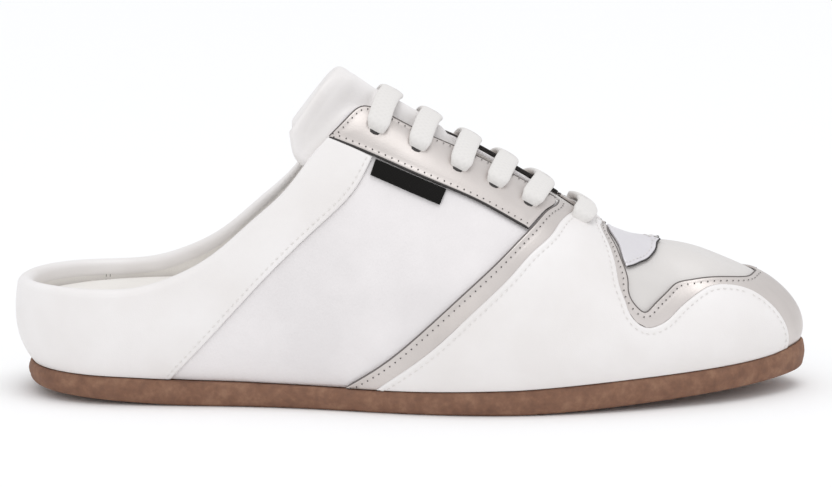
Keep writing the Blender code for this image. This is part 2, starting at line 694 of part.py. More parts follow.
def make_panel(name, loop, low, high, materials, finish, over_ridge=False):
    """Overlay cut along a loop and laid on the last between two offsets.

    Over the ridge the second value is the share down either side, outer side negative.
    """
    scale = np.array([LAST_LENGTH * 1.5, INSTEP_HEIGHT])
    nodes = grid_nodes()
    if over_ridge:
        nodes = nodes[(nodes[:, 0] > 0) & (nodes[:, 0] < 1)]
        lateral = np.stack([nodes[:, 0], nodes[:, 1] - 1], -1)
        medial = lateral[lateral[:, 1] < -1e-6] * (1, -1)
        nodes = np.concatenate([lateral, medial])
    nodes = inside_loop(nodes * scale, loop * scale, NODE_MARGIN)
    flat = np.concatenate([loop * scale, nodes])
    count = len(loop)
    edges = [(i, (i + 1) % count) for i in range(count)]
    spots, _, triangles, *_ = delaunay_2d_cdt([Vector(p) for p in flat], edges, [], 1, 1e-7)
    spots = np.array([tuple(p) for p in spots]) / scale
    along, up = spots[:, 0], spots[:, 1]
    if over_ridge:
        along = np.where(up > 0, 2 - along, along)
        up = 1 - np.abs(up)
    points = np.concatenate([skin(along, up, high), skin(along, up, low)])
    shift = len(spots)
    faces = [tuple(t) for t in triangles] + [tuple(v + shift for v in reversed(t)) for t in triangles]
    sides = {(t[k], t[(k + 1) % 3]) for t in triangles for k in range(3)}
    faces += [(b, a, a + shift, b + shift) for a, b in sides if (b, a) not in sides]
    return add_solid(name, points, faces, materials, finish)


def make_heel_panel(materials):
    """Leather panel round the heel, from one diagonal seam to the other."""
    seam = smooth_edge(HEEL_SEAM)
    foot = foot_edge(-HEEL_SEAM[0][0], HEEL_SEAM[0][0])
    collar_along = np.linspace(COLLAR_CORNER, -COLLAR_CORNER, 2 * COLUMNS // 3 * 2)
    collar = np.stack([collar_along, collar_up(collar_along)], -1)
    top = smooth_edge((tuple(seam[-1]), tuple(collar[0])))
    loop = closed_outline([foot, seam, top, collar, mirrored(top, 0.0), mirrored(seam, 0.0)])
    make_panel("heel_panel", loop, -OVERLAY_THICKNESS, 0.0, materials, "white_leather")


def make_side(side, materials):
    """Lace stay, trim strip and mudguard of one side."""
    if side == "lateral":
        stay = (STAY_LOWER, STAY_FRONT_OUTER, STAY_UPPER_OUTER, STAY_REAR)
        strip = (STRIP_REAR_OUTER, (STRIP_REAR_OUTER[-1], STRIP_FRONT_OUTER[0]), STRIP_FRONT_OUTER)
        guard_rear = MUDGUARD_REAR_OUTER
    else:
        stay = (STAY_LOWER, STAY_FRONT_INNER, STAY_UPPER_INNER, STAY_REAR)
        strip = (STRIP_REAR_INNER, (STRIP_REAR_INNER[-1], STRIP_FRONT_INNER[0]), STRIP_FRONT_INNER)
        guard_rear = MUDGUARD_REAR_INNER
    guard = (guard_rear, (guard_rear[-1], MUDGUARD_FRONT[0]), MUDGUARD_FRONT)
    pieces = (
        ("eyestay", stay, OVERLAY_THICKNESS, "silver_leather"),
        ("trim", strip, OVERLAY_THICKNESS, "silver_leather"),
        ("mudguard", guard, MUDGUARD_THICKNESS, "white_leather"),
    )
    for name, edges, thickness, finish in pieces:
        curves = [smooth_edge(edge) for edge in edges]
        if name != "eyestay":
            curves.append(foot_edge(edges[0][0][0], edges[-1][-1][0])[::-1])
        loop = closed_outline(curves)
        if side == "medial":
            loop = mirrored(loop)
        high = thickness - OVERLAY_THICKNESS
        make_panel(f"{name}_{side}", loop, -OVERLAY_THICKNESS, high, materials, finish)


def make_toe_trim(materials):
    """Silver leather round the toe, with an arm up each side to the throat."""
    inner = smooth_edge(TOE_TRIM_INNER)
    outer = smooth_edge(TOE_TRIM_OUTER)
    foot = foot_edge(TOE_TRIM_INNER[-1][0], 2 - TOE_TRIM_INNER[-1][0])
    end = smooth_edge((TOE_TRIM_OUTER[-1], TOE_TRIM_INNER[0]))
    loop = closed_outline([inner, foot, mirrored(inner), mirrored(end), mirrored(outer), outer, end])
    make_panel("trim_toe", loop, -OVERLAY_THICKNESS, 0.0, materials, "silver_leather")


def make_throat_tab(materials):
    """Small rounded tab over the ridge, below the last lace bar."""
    rear = smooth_edge(TAB_REAR) - (0, 1)
    front = smooth_edge(TAB_FRONT) - (0, 1)
    other_rear = rear[::-1] * (1, -1)
    other_front = front[::-1] * (1, -1)
    loop = closed_outline([rear, other_rear, other_front, front])
    low = GAP / 2 - OVERLAY_THICKNESS
    make_panel("throat_tab", loop, low, 0.0, materials, "silver_leather", over_ridge=True)


def make_side_tab(materials):
    """Small woven tab on the outer side, under the lower edge of the lace stay."""
    corners = SIDE_TAB_CORNERS + SIDE_TAB_CORNERS[:1]
    loop = smooth_edge(corners, straight=True)[:-1]
    high = TAB_THICKNESS - OVERLAY_THICKNESS
    make_panel("side_tab", loop, -OVERLAY_THICKNESS, high, materials, "woven_tab")


def make_tongue(materials):
    """Padded tongue: inside the upper at its sides, filling the throat between the lace stays."""
    table = np.array(TONGUE_TABLE)
    share = np.linspace(0, 1, TONGUE_ROWS + 1) ** TONGUE_ROW_CROWDING
    across = np.linspace(-1, 1, TONGUE_SECTIONS + 1)
    edge = natural_spline(table[:, 0], table[:, 1], share)
    rows, sides = np.meshgrid(share, across, indexing="ij")
    apart = np.abs(sides)
    back = TONGUE_BACK_MIDDLE + (TONGUE_BACK_SIDE - TONGUE_BACK_MIDDLE) * sides ** 2
    back = back + TONGUE_FAIRING * apart * (1 - apart)
    along = back + (TONGUE_FRONT - back) * rows
    fall = (1 - edge[:, None]) * sides
    up = 1 - np.abs(fall)
    hidden = -SET_BACK - UPPER_WALL - TONGUE_GAP
    crown = TONGUE_END_RISE * (1 - smooth_step(rows / TONGUE_END_FADE))
    clear = np.minimum(fall + 1 - collar_up(along), 1 - collar_up(2 - along) - fall) - TONGUE_RISE_MARGIN
    softer = 1 - smooth_step((along - TONGUE_BACK_MIDDLE) / TONGUE_BACK_FADE)
    climb = smooth_step(clear / (TONGUE_RISE_REACH + TONGUE_BACK_REACH * softer))
    outside = hidden + (crown - hidden) * climb
    rim = smooth_step((1 - apart) / TONGUE_RIM_SIDE) * smooth_step(rows / TONGUE_RIM_END + TONGUE_RIM_LEAST)
    thickness = TONGUE_EDGE + (TONGUE_THICKNESS - TONGUE_EDGE) * rim
    around = np.where(sides > 0, 2 - along, along)
    outer = skin(around, up, outside).reshape(-1, 3)
    inner = skin(around, up, outside - thickness).reshape(-1, 3)
    width = len(across)
    shift = len(outer)
    faces = []
    for i in range(len(share) - 1):
        for j in range(width - 1):
            a = i * width + j
            face = (a, a + width, a + width + 1, a + 1)
            faces.append(face)
            faces.append(tuple(v + shift for v in reversed(face)))
    border = [j for j in range(width)]
    border += [i * width + width - 1 for i in range(1, len(share))]
    border += [(len(share) - 1) * width + j for j in range(width - 2, -1, -1)]
    border += [i * width for i in range(len(share) - 2, 0, -1)]
    for a, b in zip(border, border[1:] + border[:1]):
        faces.append((a, b, b + shift, a + shift))
    return add_solid("tongue", np.concatenate([outer, inner]), faces, materials, "white_leather")


def make_lace_bar(number, row, materials):
    """One flat lace bar: a domed band over the throat, down on the lace stays at both ends."""
    values = dict(zip(LACE_COLUMNS, row))
    across = np.linspace(-1, 1, LACE_STEPS + 1)
    up = 1 - (1 - values["end_up"]) * np.abs(across)
    middle = values["middle_along"] + (values["end_along"] - values["middle_along"]) * np.abs(across)
    profile = np.array(LACE_PROFILE)
    to_end = smooth_step((1 - np.abs(across)) / LACE_END_REACH)
    end_taper = LACE_END_WIDTH + (1 - LACE_END_WIDTH) * to_end
    raised = MUDGUARD_THICKNESS - OVERLAY_THICKNESS if number == len(LACE_TABLE) else 0.0
    small = 1e-3
    points = []
    for place, height, side, taper in zip(middle, up, across, end_taper):
        run = last_surface(place + small, height) - last_surface(place - small, height)
        per_metre = 2 * small / np.linalg.norm(run)
        along = place + profile[:, 0] * LACE_WIDTH * per_metre * taper
        offset = raised + LACE_LIFT + profile[:, 1] * LACE_THICKNESS * taper
        around = 2 - along if side > 0 else along
        points.extend(skin(around, np.full(len(profile), height), offset))
    count = len(profile)
    faces = ring_faces(0, count, len(across))
    faces.append(tuple(range(count)))
    faces.append(tuple(range((len(across) - 1) * count, len(across) * count)))
    return add_solid(f"lace_bar_{number}", points, faces, materials, "flat_lace")


def main():
    for old in list(bpy.data.objects):
        bpy.data.objects.remove(old, do_unlink=True)
    materials = {name: make_material(name) for name in FINISHES}
    make_outsole(materials)
    make_insole(materials)
    make_upper(materials)
    make_heel_panel(materials)
    for side in ("lateral", "medial"):
        make_side(side, materials)
    make_toe_trim(materials)
    make_throat_tab(materials)
    make_side_tab(materials)
    make_tongue(materials)
    for number, row in enumerate(LACE_TABLE, start=1):
        make_lace_bar(number, row, materials)


main()
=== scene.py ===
import bpy
import bmesh
import numpy as np
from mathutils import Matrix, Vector


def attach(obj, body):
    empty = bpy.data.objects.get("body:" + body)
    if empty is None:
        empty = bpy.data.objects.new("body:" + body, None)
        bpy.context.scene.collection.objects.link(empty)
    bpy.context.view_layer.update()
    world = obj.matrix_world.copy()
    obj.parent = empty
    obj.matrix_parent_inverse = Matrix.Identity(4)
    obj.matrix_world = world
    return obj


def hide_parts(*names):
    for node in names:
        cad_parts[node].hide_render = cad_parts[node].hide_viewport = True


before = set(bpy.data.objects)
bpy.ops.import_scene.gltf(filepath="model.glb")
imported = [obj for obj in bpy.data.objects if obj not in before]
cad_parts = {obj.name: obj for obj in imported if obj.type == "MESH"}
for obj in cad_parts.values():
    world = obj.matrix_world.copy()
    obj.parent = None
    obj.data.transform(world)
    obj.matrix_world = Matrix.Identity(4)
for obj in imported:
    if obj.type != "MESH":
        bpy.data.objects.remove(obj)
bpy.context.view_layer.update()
print("frame loaded")

# Sizes are metres. "along" runs round the shoe: 0 heel back, 1 toe tip by the outer side, 2 heel again.
# "up" runs from 0 at the sole's edge to 1 at the ridge. Offsets are measured out from that surface.


def hexLinear(code):
    srgb = np.array([int(code[i:i + 2], 16) for i in (1, 3, 5)]) / 255
    return tuple(np.where(srgb <= 0.04045, srgb / 12.92, ((srgb + 0.055) / 1.055) ** 2.4)) + (1.0,)


# Camera, floor and light

view = {
    "elevation": 9.5,            # degrees above the floor
    "distance": 0.900,
    "target": (0.0015, 0.0, 0.04811),
    "focal": 117.2,              # on a 36 mm wide sensor
}
tilt = np.radians(view["elevation"])
cameraData = bpy.data.cameras.new("camera")
cameraData.lens = view["focal"]
cameraData.sensor_width = 36.0
cameraData.clip_start = 0.05
cameraData.clip_end = 30.0
camera = bpy.data.objects.new("camera", cameraData)
camera.location = Vector(view["target"]) + Vector((0, -np.cos(tilt), np.sin(tilt))) * view["distance"]
camera.rotation_euler = (np.pi / 2 - tilt, 0, 0)
bpy.context.scene.collection.objects.link(camera)
bpy.context.scene.camera = camera

studio = {
    "floor": "#FBFBFB",
    "floorSize": 9.0,
    "sky": "#FAFBFD",
    "skyStrength": 0.84,
    "sun": (0.70, 35.0),         # strength and breadth in degrees, from overhead
    "lamps": (
        # name, place, size, power, colour
        ("front", (-0.60, -1.60, 0.90), (1.1, 0.9), 2.6, "#FFFDFA"),
        ("toeSide", (1.50, -0.70, 0.80), (0.8, 0.8), 1.2, "#F6F8FF"),
    ),
}


def addNode(tree, kind, settings=None, links=None):
    # a shader node with its settings and its input links in one call
    node = tree.nodes.new(kind)
    for key, value in (settings or {}).items():
        if isinstance(key, int) or key in node.inputs:
            node.inputs[key].default_value = value
        else:
            setattr(node, key, value)
    for key, source in (links or {}).items():
        tree.links.new(source, node.inputs[key])
    return node


def newMaterial(name, **shaderValues):
    material = bpy.data.materials.new(name)
    material.use_nodes = True
    shader = material.node_tree.nodes["Principled BSDF"]
    for key, value in shaderValues.items():
        shader.inputs[key].default_value = value
    return material, material.node_tree, shader


def makeStudio():
    size = studio["floorSize"]
    mesh = bpy.data.meshes.new("floor")
    corners = [(-size, -size, 0), (size, -size, 0), (size, size, 0), (-size, size, 0)]
    mesh.from_pydata(corners, [], [(0, 1, 2, 3)])
    floor = bpy.data.objects.new("floor", mesh)
    bpy.context.scene.collection.objects.link(floor)
    material, tree, shader = newMaterial("paperFloor", Roughness=0.9)
    shader.inputs["Base Color"].default_value = hexLinear(studio["floor"])
    mesh.materials.append(material)
    world = bpy.data.worlds.new("studioSky")
    world.use_nodes = True
    sky = world.node_tree.nodes["Background"]
    sky.inputs["Color"].default_value = hexLinear(studio["sky"])
    sky.inputs["Strength"].default_value = studio["skyStrength"]
    bpy.context.scene.world = world
    sun = bpy.data.lights.new("overhead", "SUN")
    sun.energy = studio["sun"][0]
    sun.angle = np.radians(studio["sun"][1])
    holder = bpy.data.objects.new("overhead", sun)
    holder.rotation_euler = (np.radians(8), np.radians(6), 0)
    bpy.context.scene.collection.objects.link(holder)
    for name, place, size, power, colour in studio["lamps"]:
        lamp = bpy.data.lights.new(name, "AREA")
        lamp.shape = "RECTANGLE"
        lamp.size, lamp.size_y = size
        lamp.energy = power
        lamp.color = hexLinear(colour)[:3]
        holder = bpy.data.objects.new(name, lamp)
        holder.location = place
        aim = Vector((0, 0, 0.04)) - Vector(place)
        holder.rotation_euler = aim.to_track_quat("-Z", "Y").to_euler()
        bpy.context.scene.collection.objects.link(holder)
    bpy.context.scene.view_settings.view_transform = "Standard"


makeStudio()
print("camera, floor and light set")

# The last: the same sizes and tables as the solids

lastSize = {
    "length": 0.2565,
    "ballWidth": 0.0900,
    "instepHeight": 0.1180,
    "heelBulge": 0.0062,
    "shift": 0.0020,
    "soleThickness": 0.0080,
    "toeSpring": 0.0063,
    "heelLift": 0.0034,
    "wall": 0.0020,
    "collarWall": 0.0038,
    "overlay": 0.0009,
    "overlayGap": 0.0004,
    "gap": 0.0003,
}
setBack = lastSize["overlay"] + lastSize["overlayGap"]

# a row for each tenth from heel to toe: half widths, bulges, bulge height, roundness, ridge place and side
lastColumns = ("lateral", "medial", "lateralBulge", "medialBulge", "bulgeHeight", "roundness", "ridgeAlong", "ridgeSide")
lastTable = np.array((
    (0.000, 0.000, 1.00, 1.00, 0.178, 1.00, -0.2885, 0.000),
    (0.206, 0.206, 0.90, 0.90, 0.178, 1.00, -0.2807, 0.000),
    (0.317, 0.317, 0.71, 0.71, 0.169, 1.00, -0.2534, 0.000),
    (0.350, 0.339, 0.58, 0.58, 0.153, 1.00, -0.2027, 0.000),
    (0.389, 0.317, 0.48, 0.65, 0.136, 0.97, -0.1170, 0.000),
    (0.489, 0.328, 0.39, 0.65, 0.119, 0.94, 0.0000, 0.003),
    (0.503, 0.439, 0.32, 0.39, 0.093, 0.90, 0.1209, 0.009),
    (0.406, 0.444, 0.26, 0.26, 0.085, 0.86, 0.2183, 0.016),
    (0.272, 0.344, 0.23, 0.23, 0.076, 0.82, 0.2807, 0.022),
    (0.111, 0.183, 0.19, 0.19, 0.068, 0.80, 0.3119, 0.029),
    (-0.033, 0.033, 0.19, 0.19, 0.068, 0.80, 0.3236, 0.033),
))
ridgeTable = np.array((
    (-0.3587, 1.000), (-0.2807, 0.996), (-0.2027, 0.970), (-0.1053, 0.9025), (-0.0078, 0.792), (0.1092, 0.648),
    (0.2066, 0.517), (0.2417, 0.468), (0.2729, 0.437), (0.3041, 0.427), (0.3353, 0.414),
))
soleTable = np.array((
    (-0.5146, 0.810), (-0.4600, 0.895), (-0.4100, 0.950), (-0.3587, 1.010), (-0.2417, 0.990), (-0.0468, 0.900), (0.1014, 1.000), (0.2261, 1.060),
    (0.3314, 1.030), (0.4094, 1.010), (0.4678, 1.075), (0.5068, 1.240),
))
treadBack, treadFront, toeSpringPower, heelLiftPower = -0.280, 0.120, 1.3, 1.4
collarTable = np.array((
    (0.000, 0.148), (0.130, 0.150), (0.205, 0.151), (0.250, 0.160), (0.290, 0.188), (0.330, 0.242), (0.365, 0.325),
    (0.390, 0.405), (0.410, 0.510), (0.425, 0.610), (0.440, 0.730), (0.457, 0.803),
))
# edge of the throat: along, how far up on the outer side, on the inner side
throatTable = np.array((
    (0.457, 0.803, 0.803), (0.500, 0.802, 0.815), (0.531, 0.826, 0.880), (0.562, 0.852, 0.950), (0.600, 0.868, 0.972),
    (0.640, 0.906, 0.980), (0.673, 0.950, 0.988), (0.700, 1.000, 1.000),
))
collarPad = {"end": 0.340, "fade": 0.060, "depth": 0.120}


def naturalSpline(xs, ys, x, slope=False):
    # smooth curve through the points (xs, ys) with straight ends, read at x, or its slope there
    xs, ys, x = np.asarray(xs, float), np.asarray(ys, float), np.asarray(x, float)
    count, step = len(xs), np.diff(xs)
    matrix, right = np.eye(count), np.zeros(count)
    for i in range(1, count - 1):
        matrix[i, i - 1:i + 2] = step[i - 1], 2 * (step[i - 1] + step[i]), step[i]
        right[i] = 6 * ((ys[i + 1] - ys[i]) / step[i] - (ys[i] - ys[i - 1]) / step[i - 1])
    bend = np.linalg.solve(matrix, right)
    i = np.clip(np.searchsorted(xs, x) - 1, 0, count - 2)
    after, before, width = x - xs[i], xs[i + 1] - x, step[i]
    if slope:
        curved = (bend[i + 1] * after ** 2 - bend[i] * before ** 2) / (2 * width)
        return curved + (ys[i + 1] - ys[i]) / width - (bend[i + 1] - bend[i]) * width / 6
    cubic = (bend[i] * before ** 3 + bend[i + 1] * after ** 3) / (6 * width)
    line = (ys[i] / width - bend[i] * width / 6) * before + (ys[i + 1] / width - bend[i + 1] * width / 6) * after
    return cubic + line


def roundSpline(lateral, medial, along, slope=False):
    # closed smooth curve round the shoe through evenly spaced values
    values = np.concatenate([lateral, medial[-2:0:-1]])
    count = len(values)
    step = 2.0 / count
    matrix = np.roll(np.eye(count), 1, 0) + np.roll(np.eye(count), -1, 0) + 4 * np.eye(count)
    bend = np.linalg.solve(matrix, 6 * (np.roll(values, -1) - 2 * values + np.roll(values, 1)) / step ** 2)
    along = np.mod(np.asarray(along, float), 2.0)
    i = np.minimum((along / step).astype(int), count - 1)
    j = (i + 1) % count
    after = along - i * step
    before = step - after
    if slope:
        curved = (bend[j] * after ** 2 - bend[i] * before ** 2) / (2 * step)
        return curved + (values[j] - values[i]) / step - (bend[j] - bend[i]) * step / 6
    cubic = (bend[i] * before ** 3 + bend[j] * after ** 3) / (6 * step)
    line = (values[i] / step - bend[i] * step / 6) * before + (values[j] / step - bend[j] * step / 6) * after
    return cubic + line


def lastValue(lateralName, medialName, along, scale=1.0, slope=False):
    lateral = lastTable[:, lastColumns.index(lateralName)] * scale
    medial = lastTable[:, lastColumns.index(medialName)] * scale
    return roundSpline(lateral, medial, along, slope)


def placeAlong(share):
    return lastSize["shift"] + np.asarray(share, float) * lastSize["length"]


def smoothStep(value):
    # 0 below 0, 1 above 1, a soft rise between
    value = np.clip(value, 0.0, 1.0)
    return value * value * (3.0 - 2.0 * value)


def bell(value):
    # 1 at 0, falling off softly on both sides
    return np.exp(-np.asarray(value, float) ** 2)


def outline(along):
    # edge of the sole from above: x is a cosine along the shoe, y a spline; with outward directions
    along = np.asarray(along, float)
    width, length = lastSize["ballWidth"], lastSize["length"]
    x = lastSize["shift"] - length / 2 * np.cos(np.pi * along)
    y = roundSpline(-lastTable[:, 0] * width, lastTable[:, 1] * width, along)
    runX = length / 2 * np.pi * np.sin(np.pi * along)
    runY = roundSpline(-lastTable[:, 0] * width, lastTable[:, 1] * width, along, slope=True)
    size = np.hypot(runX, runY) + 1e-12
    return x, y, runY / size, -runX / size


def soleBottom(x):
    # flat along the tread, rising as a power of the distance past it at the toe and at the heel
    share = (np.asarray(x, float) - lastSize["shift"]) / lastSize["length"]
    toe = np.clip((share - treadFront) / (0.5 - treadFront), 0.0, None) ** toeSpringPower
    heel = np.clip((treadBack - share) / (0.5 + treadBack), 0.0, None) ** heelLiftPower
    return lastSize["toeSpring"] * toe + lastSize["heelLift"] * heel


def soleTop(x):
    thickness = naturalSpline(placeAlong(soleTable[:, 0]), soleTable[:, 1] * lastSize["soleThickness"], x)
    return soleBottom(x) + thickness


def ridgeLine(along):
    places = placeAlong(ridgeTable[:, 0])
    heights = ridgeTable[:, 1] * lastSize["instepHeight"]
    x = lastSize["shift"] + lastValue("ridgeAlong", "ridgeAlong", along, lastSize["length"])
    y = lastValue("ridgeSide", "ridgeSide", along, lastSize["ballWidth"])
    return x, y, naturalSpline(places, heights, x), naturalSpline(places, heights, x, slope=True)


def lastSurface(along, up):
    # a quarter of a superellipse from the sole's edge to the ridge, pushed out by a bulge low down
    along, up = np.broadcast_arrays(np.asarray(along, float), np.asarray(up, float))
    footX, footY, outX, outY = outline(along)
    footZ = soleTop(footX) + lastSize["gap"]
    topX, topY, topZ, topSlope = ridgeLine(along)
    roundness = lastValue("roundness", "roundness", along)
    drop = topSlope * (footX - topX)
    angle = np.clip(up, 0.0, 1.0) * np.pi / 2
    outward = np.clip(np.cos(angle), 0.0, None) ** roundness
    upward = np.sin(angle) ** roundness
    x = topX + (footX - topX) * outward
    y = topY + (footY - topY) * outward
    z = footZ - drop + drop * outward + (topZ - footZ + drop) * upward
    bulge = lastValue("lateralBulge", "medialBulge", along, lastSize["heelBulge"])
    height = lastValue("bulgeHeight", "bulgeHeight", along, lastSize["instepHeight"])
    rise = np.clip(z - footZ, 0.0, None) / height
    push = bulge * rise * np.exp(1 - rise) * (1 - smoothStep((up - 0.5) / 0.4))
    return np.stack([x + outX * push, y + outY * push, z], -1)


def unit(vectors):
    return vectors / (np.linalg.norm(vectors, axis=-1, keepdims=True) + 1e-15)


def surfaceNormal(along, up):
    # straight out of the last: level at the sole's edge and the ridge's own direction at the top
    along, up = np.broadcast_arrays(np.asarray(along, float), np.asarray(up, float))
    small = 2e-4
    near = np.clip(up, 1e-3, 1 - 2e-3)
    offToe = np.where(np.abs(along - 1) < 1e-3, 1 - 1e-3, along)
    forward = lastSurface(offToe + small, near) - lastSurface(offToe - small, near)
    upward = lastSurface(offToe, near + small) - lastSurface(offToe, near - small)
    normal = unit(np.cross(forward, upward))
    outX, outY = outline(along)[2:]
    level = np.stack([outX, outY, np.zeros_like(outX)], -1)
    share = smoothStep(up / 0.06)[..., None]
    normal = level * (1 - share) + normal * share
    slope = ridgeLine(along)[3]
    ridge = unit(np.stack([-slope, np.zeros_like(slope), np.ones_like(slope)], -1))
    share = smoothStep((up - 0.96) / 0.04)[..., None]
    return unit(normal * (1 - share) + ridge * share)


# creases pressed in: along, up, run in along and up, width, depth (out is positive)
creases = {
    "vampFlexOuter": (0.735, 0.800, 0.030, 0.100, 0.014, -0.00030),
    "vampFlexInner": (1.262, 0.790, -0.030, 0.100, 0.014, -0.00030),
    "ballOuter": (0.640, 0.300, 0.010, 0.150, 0.016, -0.00035),
    "ballOuterRidge": (0.662, 0.260, 0.012, 0.120, 0.012, 0.00025),
    "ballInner": (1.345, 0.300, -0.010, 0.150, 0.016, -0.00040),
    "quarterLow": (0.372, 0.060, 0.030, 0.030, 0.012, 0.00040),
    "quarterLowTrough": (0.352, 0.035, 0.022, 0.022, 0.009, -0.00035),
    "quarterMiddle": (0.455, 0.300, 0.030, 0.180, 0.024, -0.00035),
    "quarterInner": (1.560, 0.250, -0.030, 0.160, 0.024, -0.00045),
    "heelOuter": (0.180, 0.080, 0.060, 0.010, 0.020, 0.00035),
    "heelInner": (1.800, 0.080, 0.060, 0.010, 0.020, 0.00035),
}


def leatherRelief(along, up):
    # sum of soft troughs and ridges, each a bell across a short line; none at the ridge, where the sides meet
    along = np.mod(np.asarray(along, float), 2.0)
    total = np.zeros(np.broadcast(along, up).shape)
    stretch = np.array([lastSize["length"] * 1.5, lastSize["instepHeight"]])
    for centreAlong, centreUp, runAlong, runUp, width, depth in creases.values():
        run = np.array([runAlong, runUp]) * stretch
        half = np.linalg.norm(run)
        run = run / half
        offA, offU = (along - centreAlong) * stretch[0], (up - centreUp) * stretch[1]
        lengthwise = offA * run[0] + offU * run[1]
        across = offU * run[0] - offA * run[1]
        total = total + depth * bell(across / width) * bell(lengthwise / half)
    return total * (1 - smoothStep((np.asarray(up, float) - 0.90) / 0.10))


def skin(along, up, offset=0.0):
    # point on the last, with its creases, moved out by the offset
    along, up, offset = np.broadcast_arrays(*(np.asarray(v, float) for v in (along, up, offset)))
    return lastSurface(along, up) + surfaceNormal(along, up) * (offset + leatherRelief(along, up))[..., None]


def folded(along):
    along = np.mod(np.asarray(along, float), 2.0)
    return np.minimum(along, 2.0 - along)


def collarUp(along):
    # how far up the shell reaches: the collar, then the throat's edge on either side, then the ridge
    side = folded(along)
    collar = naturalSpline(collarTable[:, 0], collarTable[:, 1], side)
    outer = naturalSpline(throatTable[:, 0], throatTable[:, 1], side)
    inner = naturalSpline(throatTable[:, 0], throatTable[:, 2], side)
    edge = np.where(np.mod(along, 2.0) > 1.0, inner, outer)
    edge = np.where(side >= throatTable[-1, 0], 1.0, np.minimum(edge, 1.0))
    return np.where(side < throatTable[0, 0], np.minimum(collar, throatTable[0, 1]), edge)


def wallInside(along, up):
    # offset of the inner face: one wall, padded along the collar
    padded = 1 - smoothStep((folded(along) - collarPad["end"]) / collarPad["fade"])
    nearTop = smoothStep((up - collarUp(along) + collarPad["depth"]) / collarPad["depth"])
    return -setBack - lastSize["wall"] - (lastSize["collarWall"] - lastSize["wall"]) * padded * nearTop


# Meshes

def gridFaces(rows, columns, start=0, wrap=False):
    # quads of a grid stored row by row; wrap joins the last column to the first
    i = np.arange(rows - 1)[:, None] * columns
    j = np.arange(columns if wrap else columns - 1)[None]
    k = (j + 1) % columns
    return (np.stack([i + j, i + k, i + columns + k, i + columns + j], -1) + start).reshape(-1, 4)


def wallFaces(outer, inner):
    # quads between two rows of point numbers
    return np.stack([outer[:-1], outer[1:], inner[1:], inner[:-1]], -1)


def addPiece(name, points, faces, materials, slots=None, uv=None, merge=1e-6, turn=True):
    # one smooth object from points and quads; slots gives each face's material, uv each point's place
    mesh = bpy.data.meshes.new(name)
    mesh.from_pydata(points.reshape(-1, 3).tolist(), [], faces.tolist())
    if uv is not None:
        layer = mesh.uv_layers.new(name="cloth")
        corner = np.empty(len(mesh.loops), np.int32)
        mesh.loops.foreach_get("vertex_index", corner)
        layer.data.foreach_set("uv", uv.reshape(-1, 2)[corner].astype(np.float32).ravel())
    if slots is not None:
        mesh.polygons.foreach_set("material_index", np.asarray(slots, np.int32))
    work = bmesh.new()
    work.from_mesh(mesh)
    if merge:
        bmesh.ops.remove_doubles(work, verts=work.verts, dist=merge)
        bmesh.ops.dissolve_degenerate(work, dist=1e-7, edges=work.edges)
    if turn:
        bmesh.ops.recalc_face_normals(work, faces=work.faces)
    work.to_mesh(mesh)
    work.free()
    mesh.shade_smooth()
    for material in materials:
        mesh.materials.append(material)
    piece = bpy.data.objects.new(name, mesh)
    bpy.context.scene.collection.objects.link(piece)
    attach(piece, "root")
    return piece


def crowdedShares(length, step, edge=(0.00015, 0.0004, 0.0008, 0.0014, 0.0022, 0.0032)):
    # shares from 0 to 1, evenly stepped but crowded at both ends, where edges are rounded
    edge = np.array([e for e in edge if e < length * 0.4])
    low = edge[-1] if len(edge) else 0.0
    middle = np.linspace(low, length - low, max(3, int((length - 2 * low) / step)))
    return np.concatenate([[0.0], edge[:-1], middle, length - edge[:-1][::-1], [length]]) / length


def readLine(corners, shares):
    # smooth curve through short (along, up) corners, read at shares of its length
    scale = np.array([lastSize["length"] * 1.5, lastSize["instepHeight"]])
    corners = np.asarray(corners, float)
    places = np.concatenate([[0.0], np.cumsum(np.linalg.norm(np.diff(corners, axis=0) * scale, axis=1))])
    read = np.asarray(shares) * places[-1]
    if len(corners) == 2:
        return np.stack([np.interp(read, places, corners[:, k]) for k in (0, 1)], -1)
    return np.stack([naturalSpline(places, corners[:, k], read) for k in (0, 1)], -1)


def cornerShares(corners, numbers):
    # share of a line's length at some of its corners
    scale = np.array([lastSize["length"] * 1.5, lastSize["instepHeight"]])
    places = np.concatenate([[0.0], np.cumsum(np.linalg.norm(np.diff(corners, axis=0) * scale, axis=1))])
    return np.interp(numbers, np.arange(len(corners)), places / places[-1])


def lineLength(corners):
    points = readLine(corners, np.linspace(0, 1, 60))
    return np.linalg.norm(np.diff(lastSurface(points[:, 0], np.clip(points[:, 1], 0, 1)), axis=0), axis=1).sum()


def coonsPatch(bottom, right, top, left, u, v):
    # blend of four edge lines read at shares u and v: ruled both ways, less the corners counted twice
    u, v = u[:, None, None], v[None, :, None]
    ruled = (1 - v) * bottom[:, None] + v * top[:, None] + (1 - u) * left[None] + u * right[None]
    corners = (1 - u) * (1 - v) * bottom[0] + u * (1 - v) * bottom[-1] + (1 - u) * v * top[0] + u * v * top[-1]
    return ruled - corners


def patchGrid(bottom, right, top, left, step):
    # (along, up) on a grid between four edges given by their corners; left and right both run upwards
    u = crowdedShares(max(lineLength(bottom), lineLength(top)), step)
    v = crowdedShares(max(lineLength(left), lineLength(right)), step)
    return coonsPatch(readLine(bottom, u), readLine(right, v), readLine(top, u), readLine(left, v), u, v)


def mirrorLine(line):
    return tuple((2.0 - a, u) for a, u in line)


def nearest(points, line):
    # distance from each point to a dense row of points
    flat = points.reshape(-1, 3)
    out = np.empty(len(flat))
    for start in range(0, len(flat), 2000):
        block = flat[start:start + 2000]
        out[start:start + 2000] = np.sqrt(((block[:, None] - line[None]) ** 2).sum(-1).min(1))
    return out.reshape(points.shape[:-1])


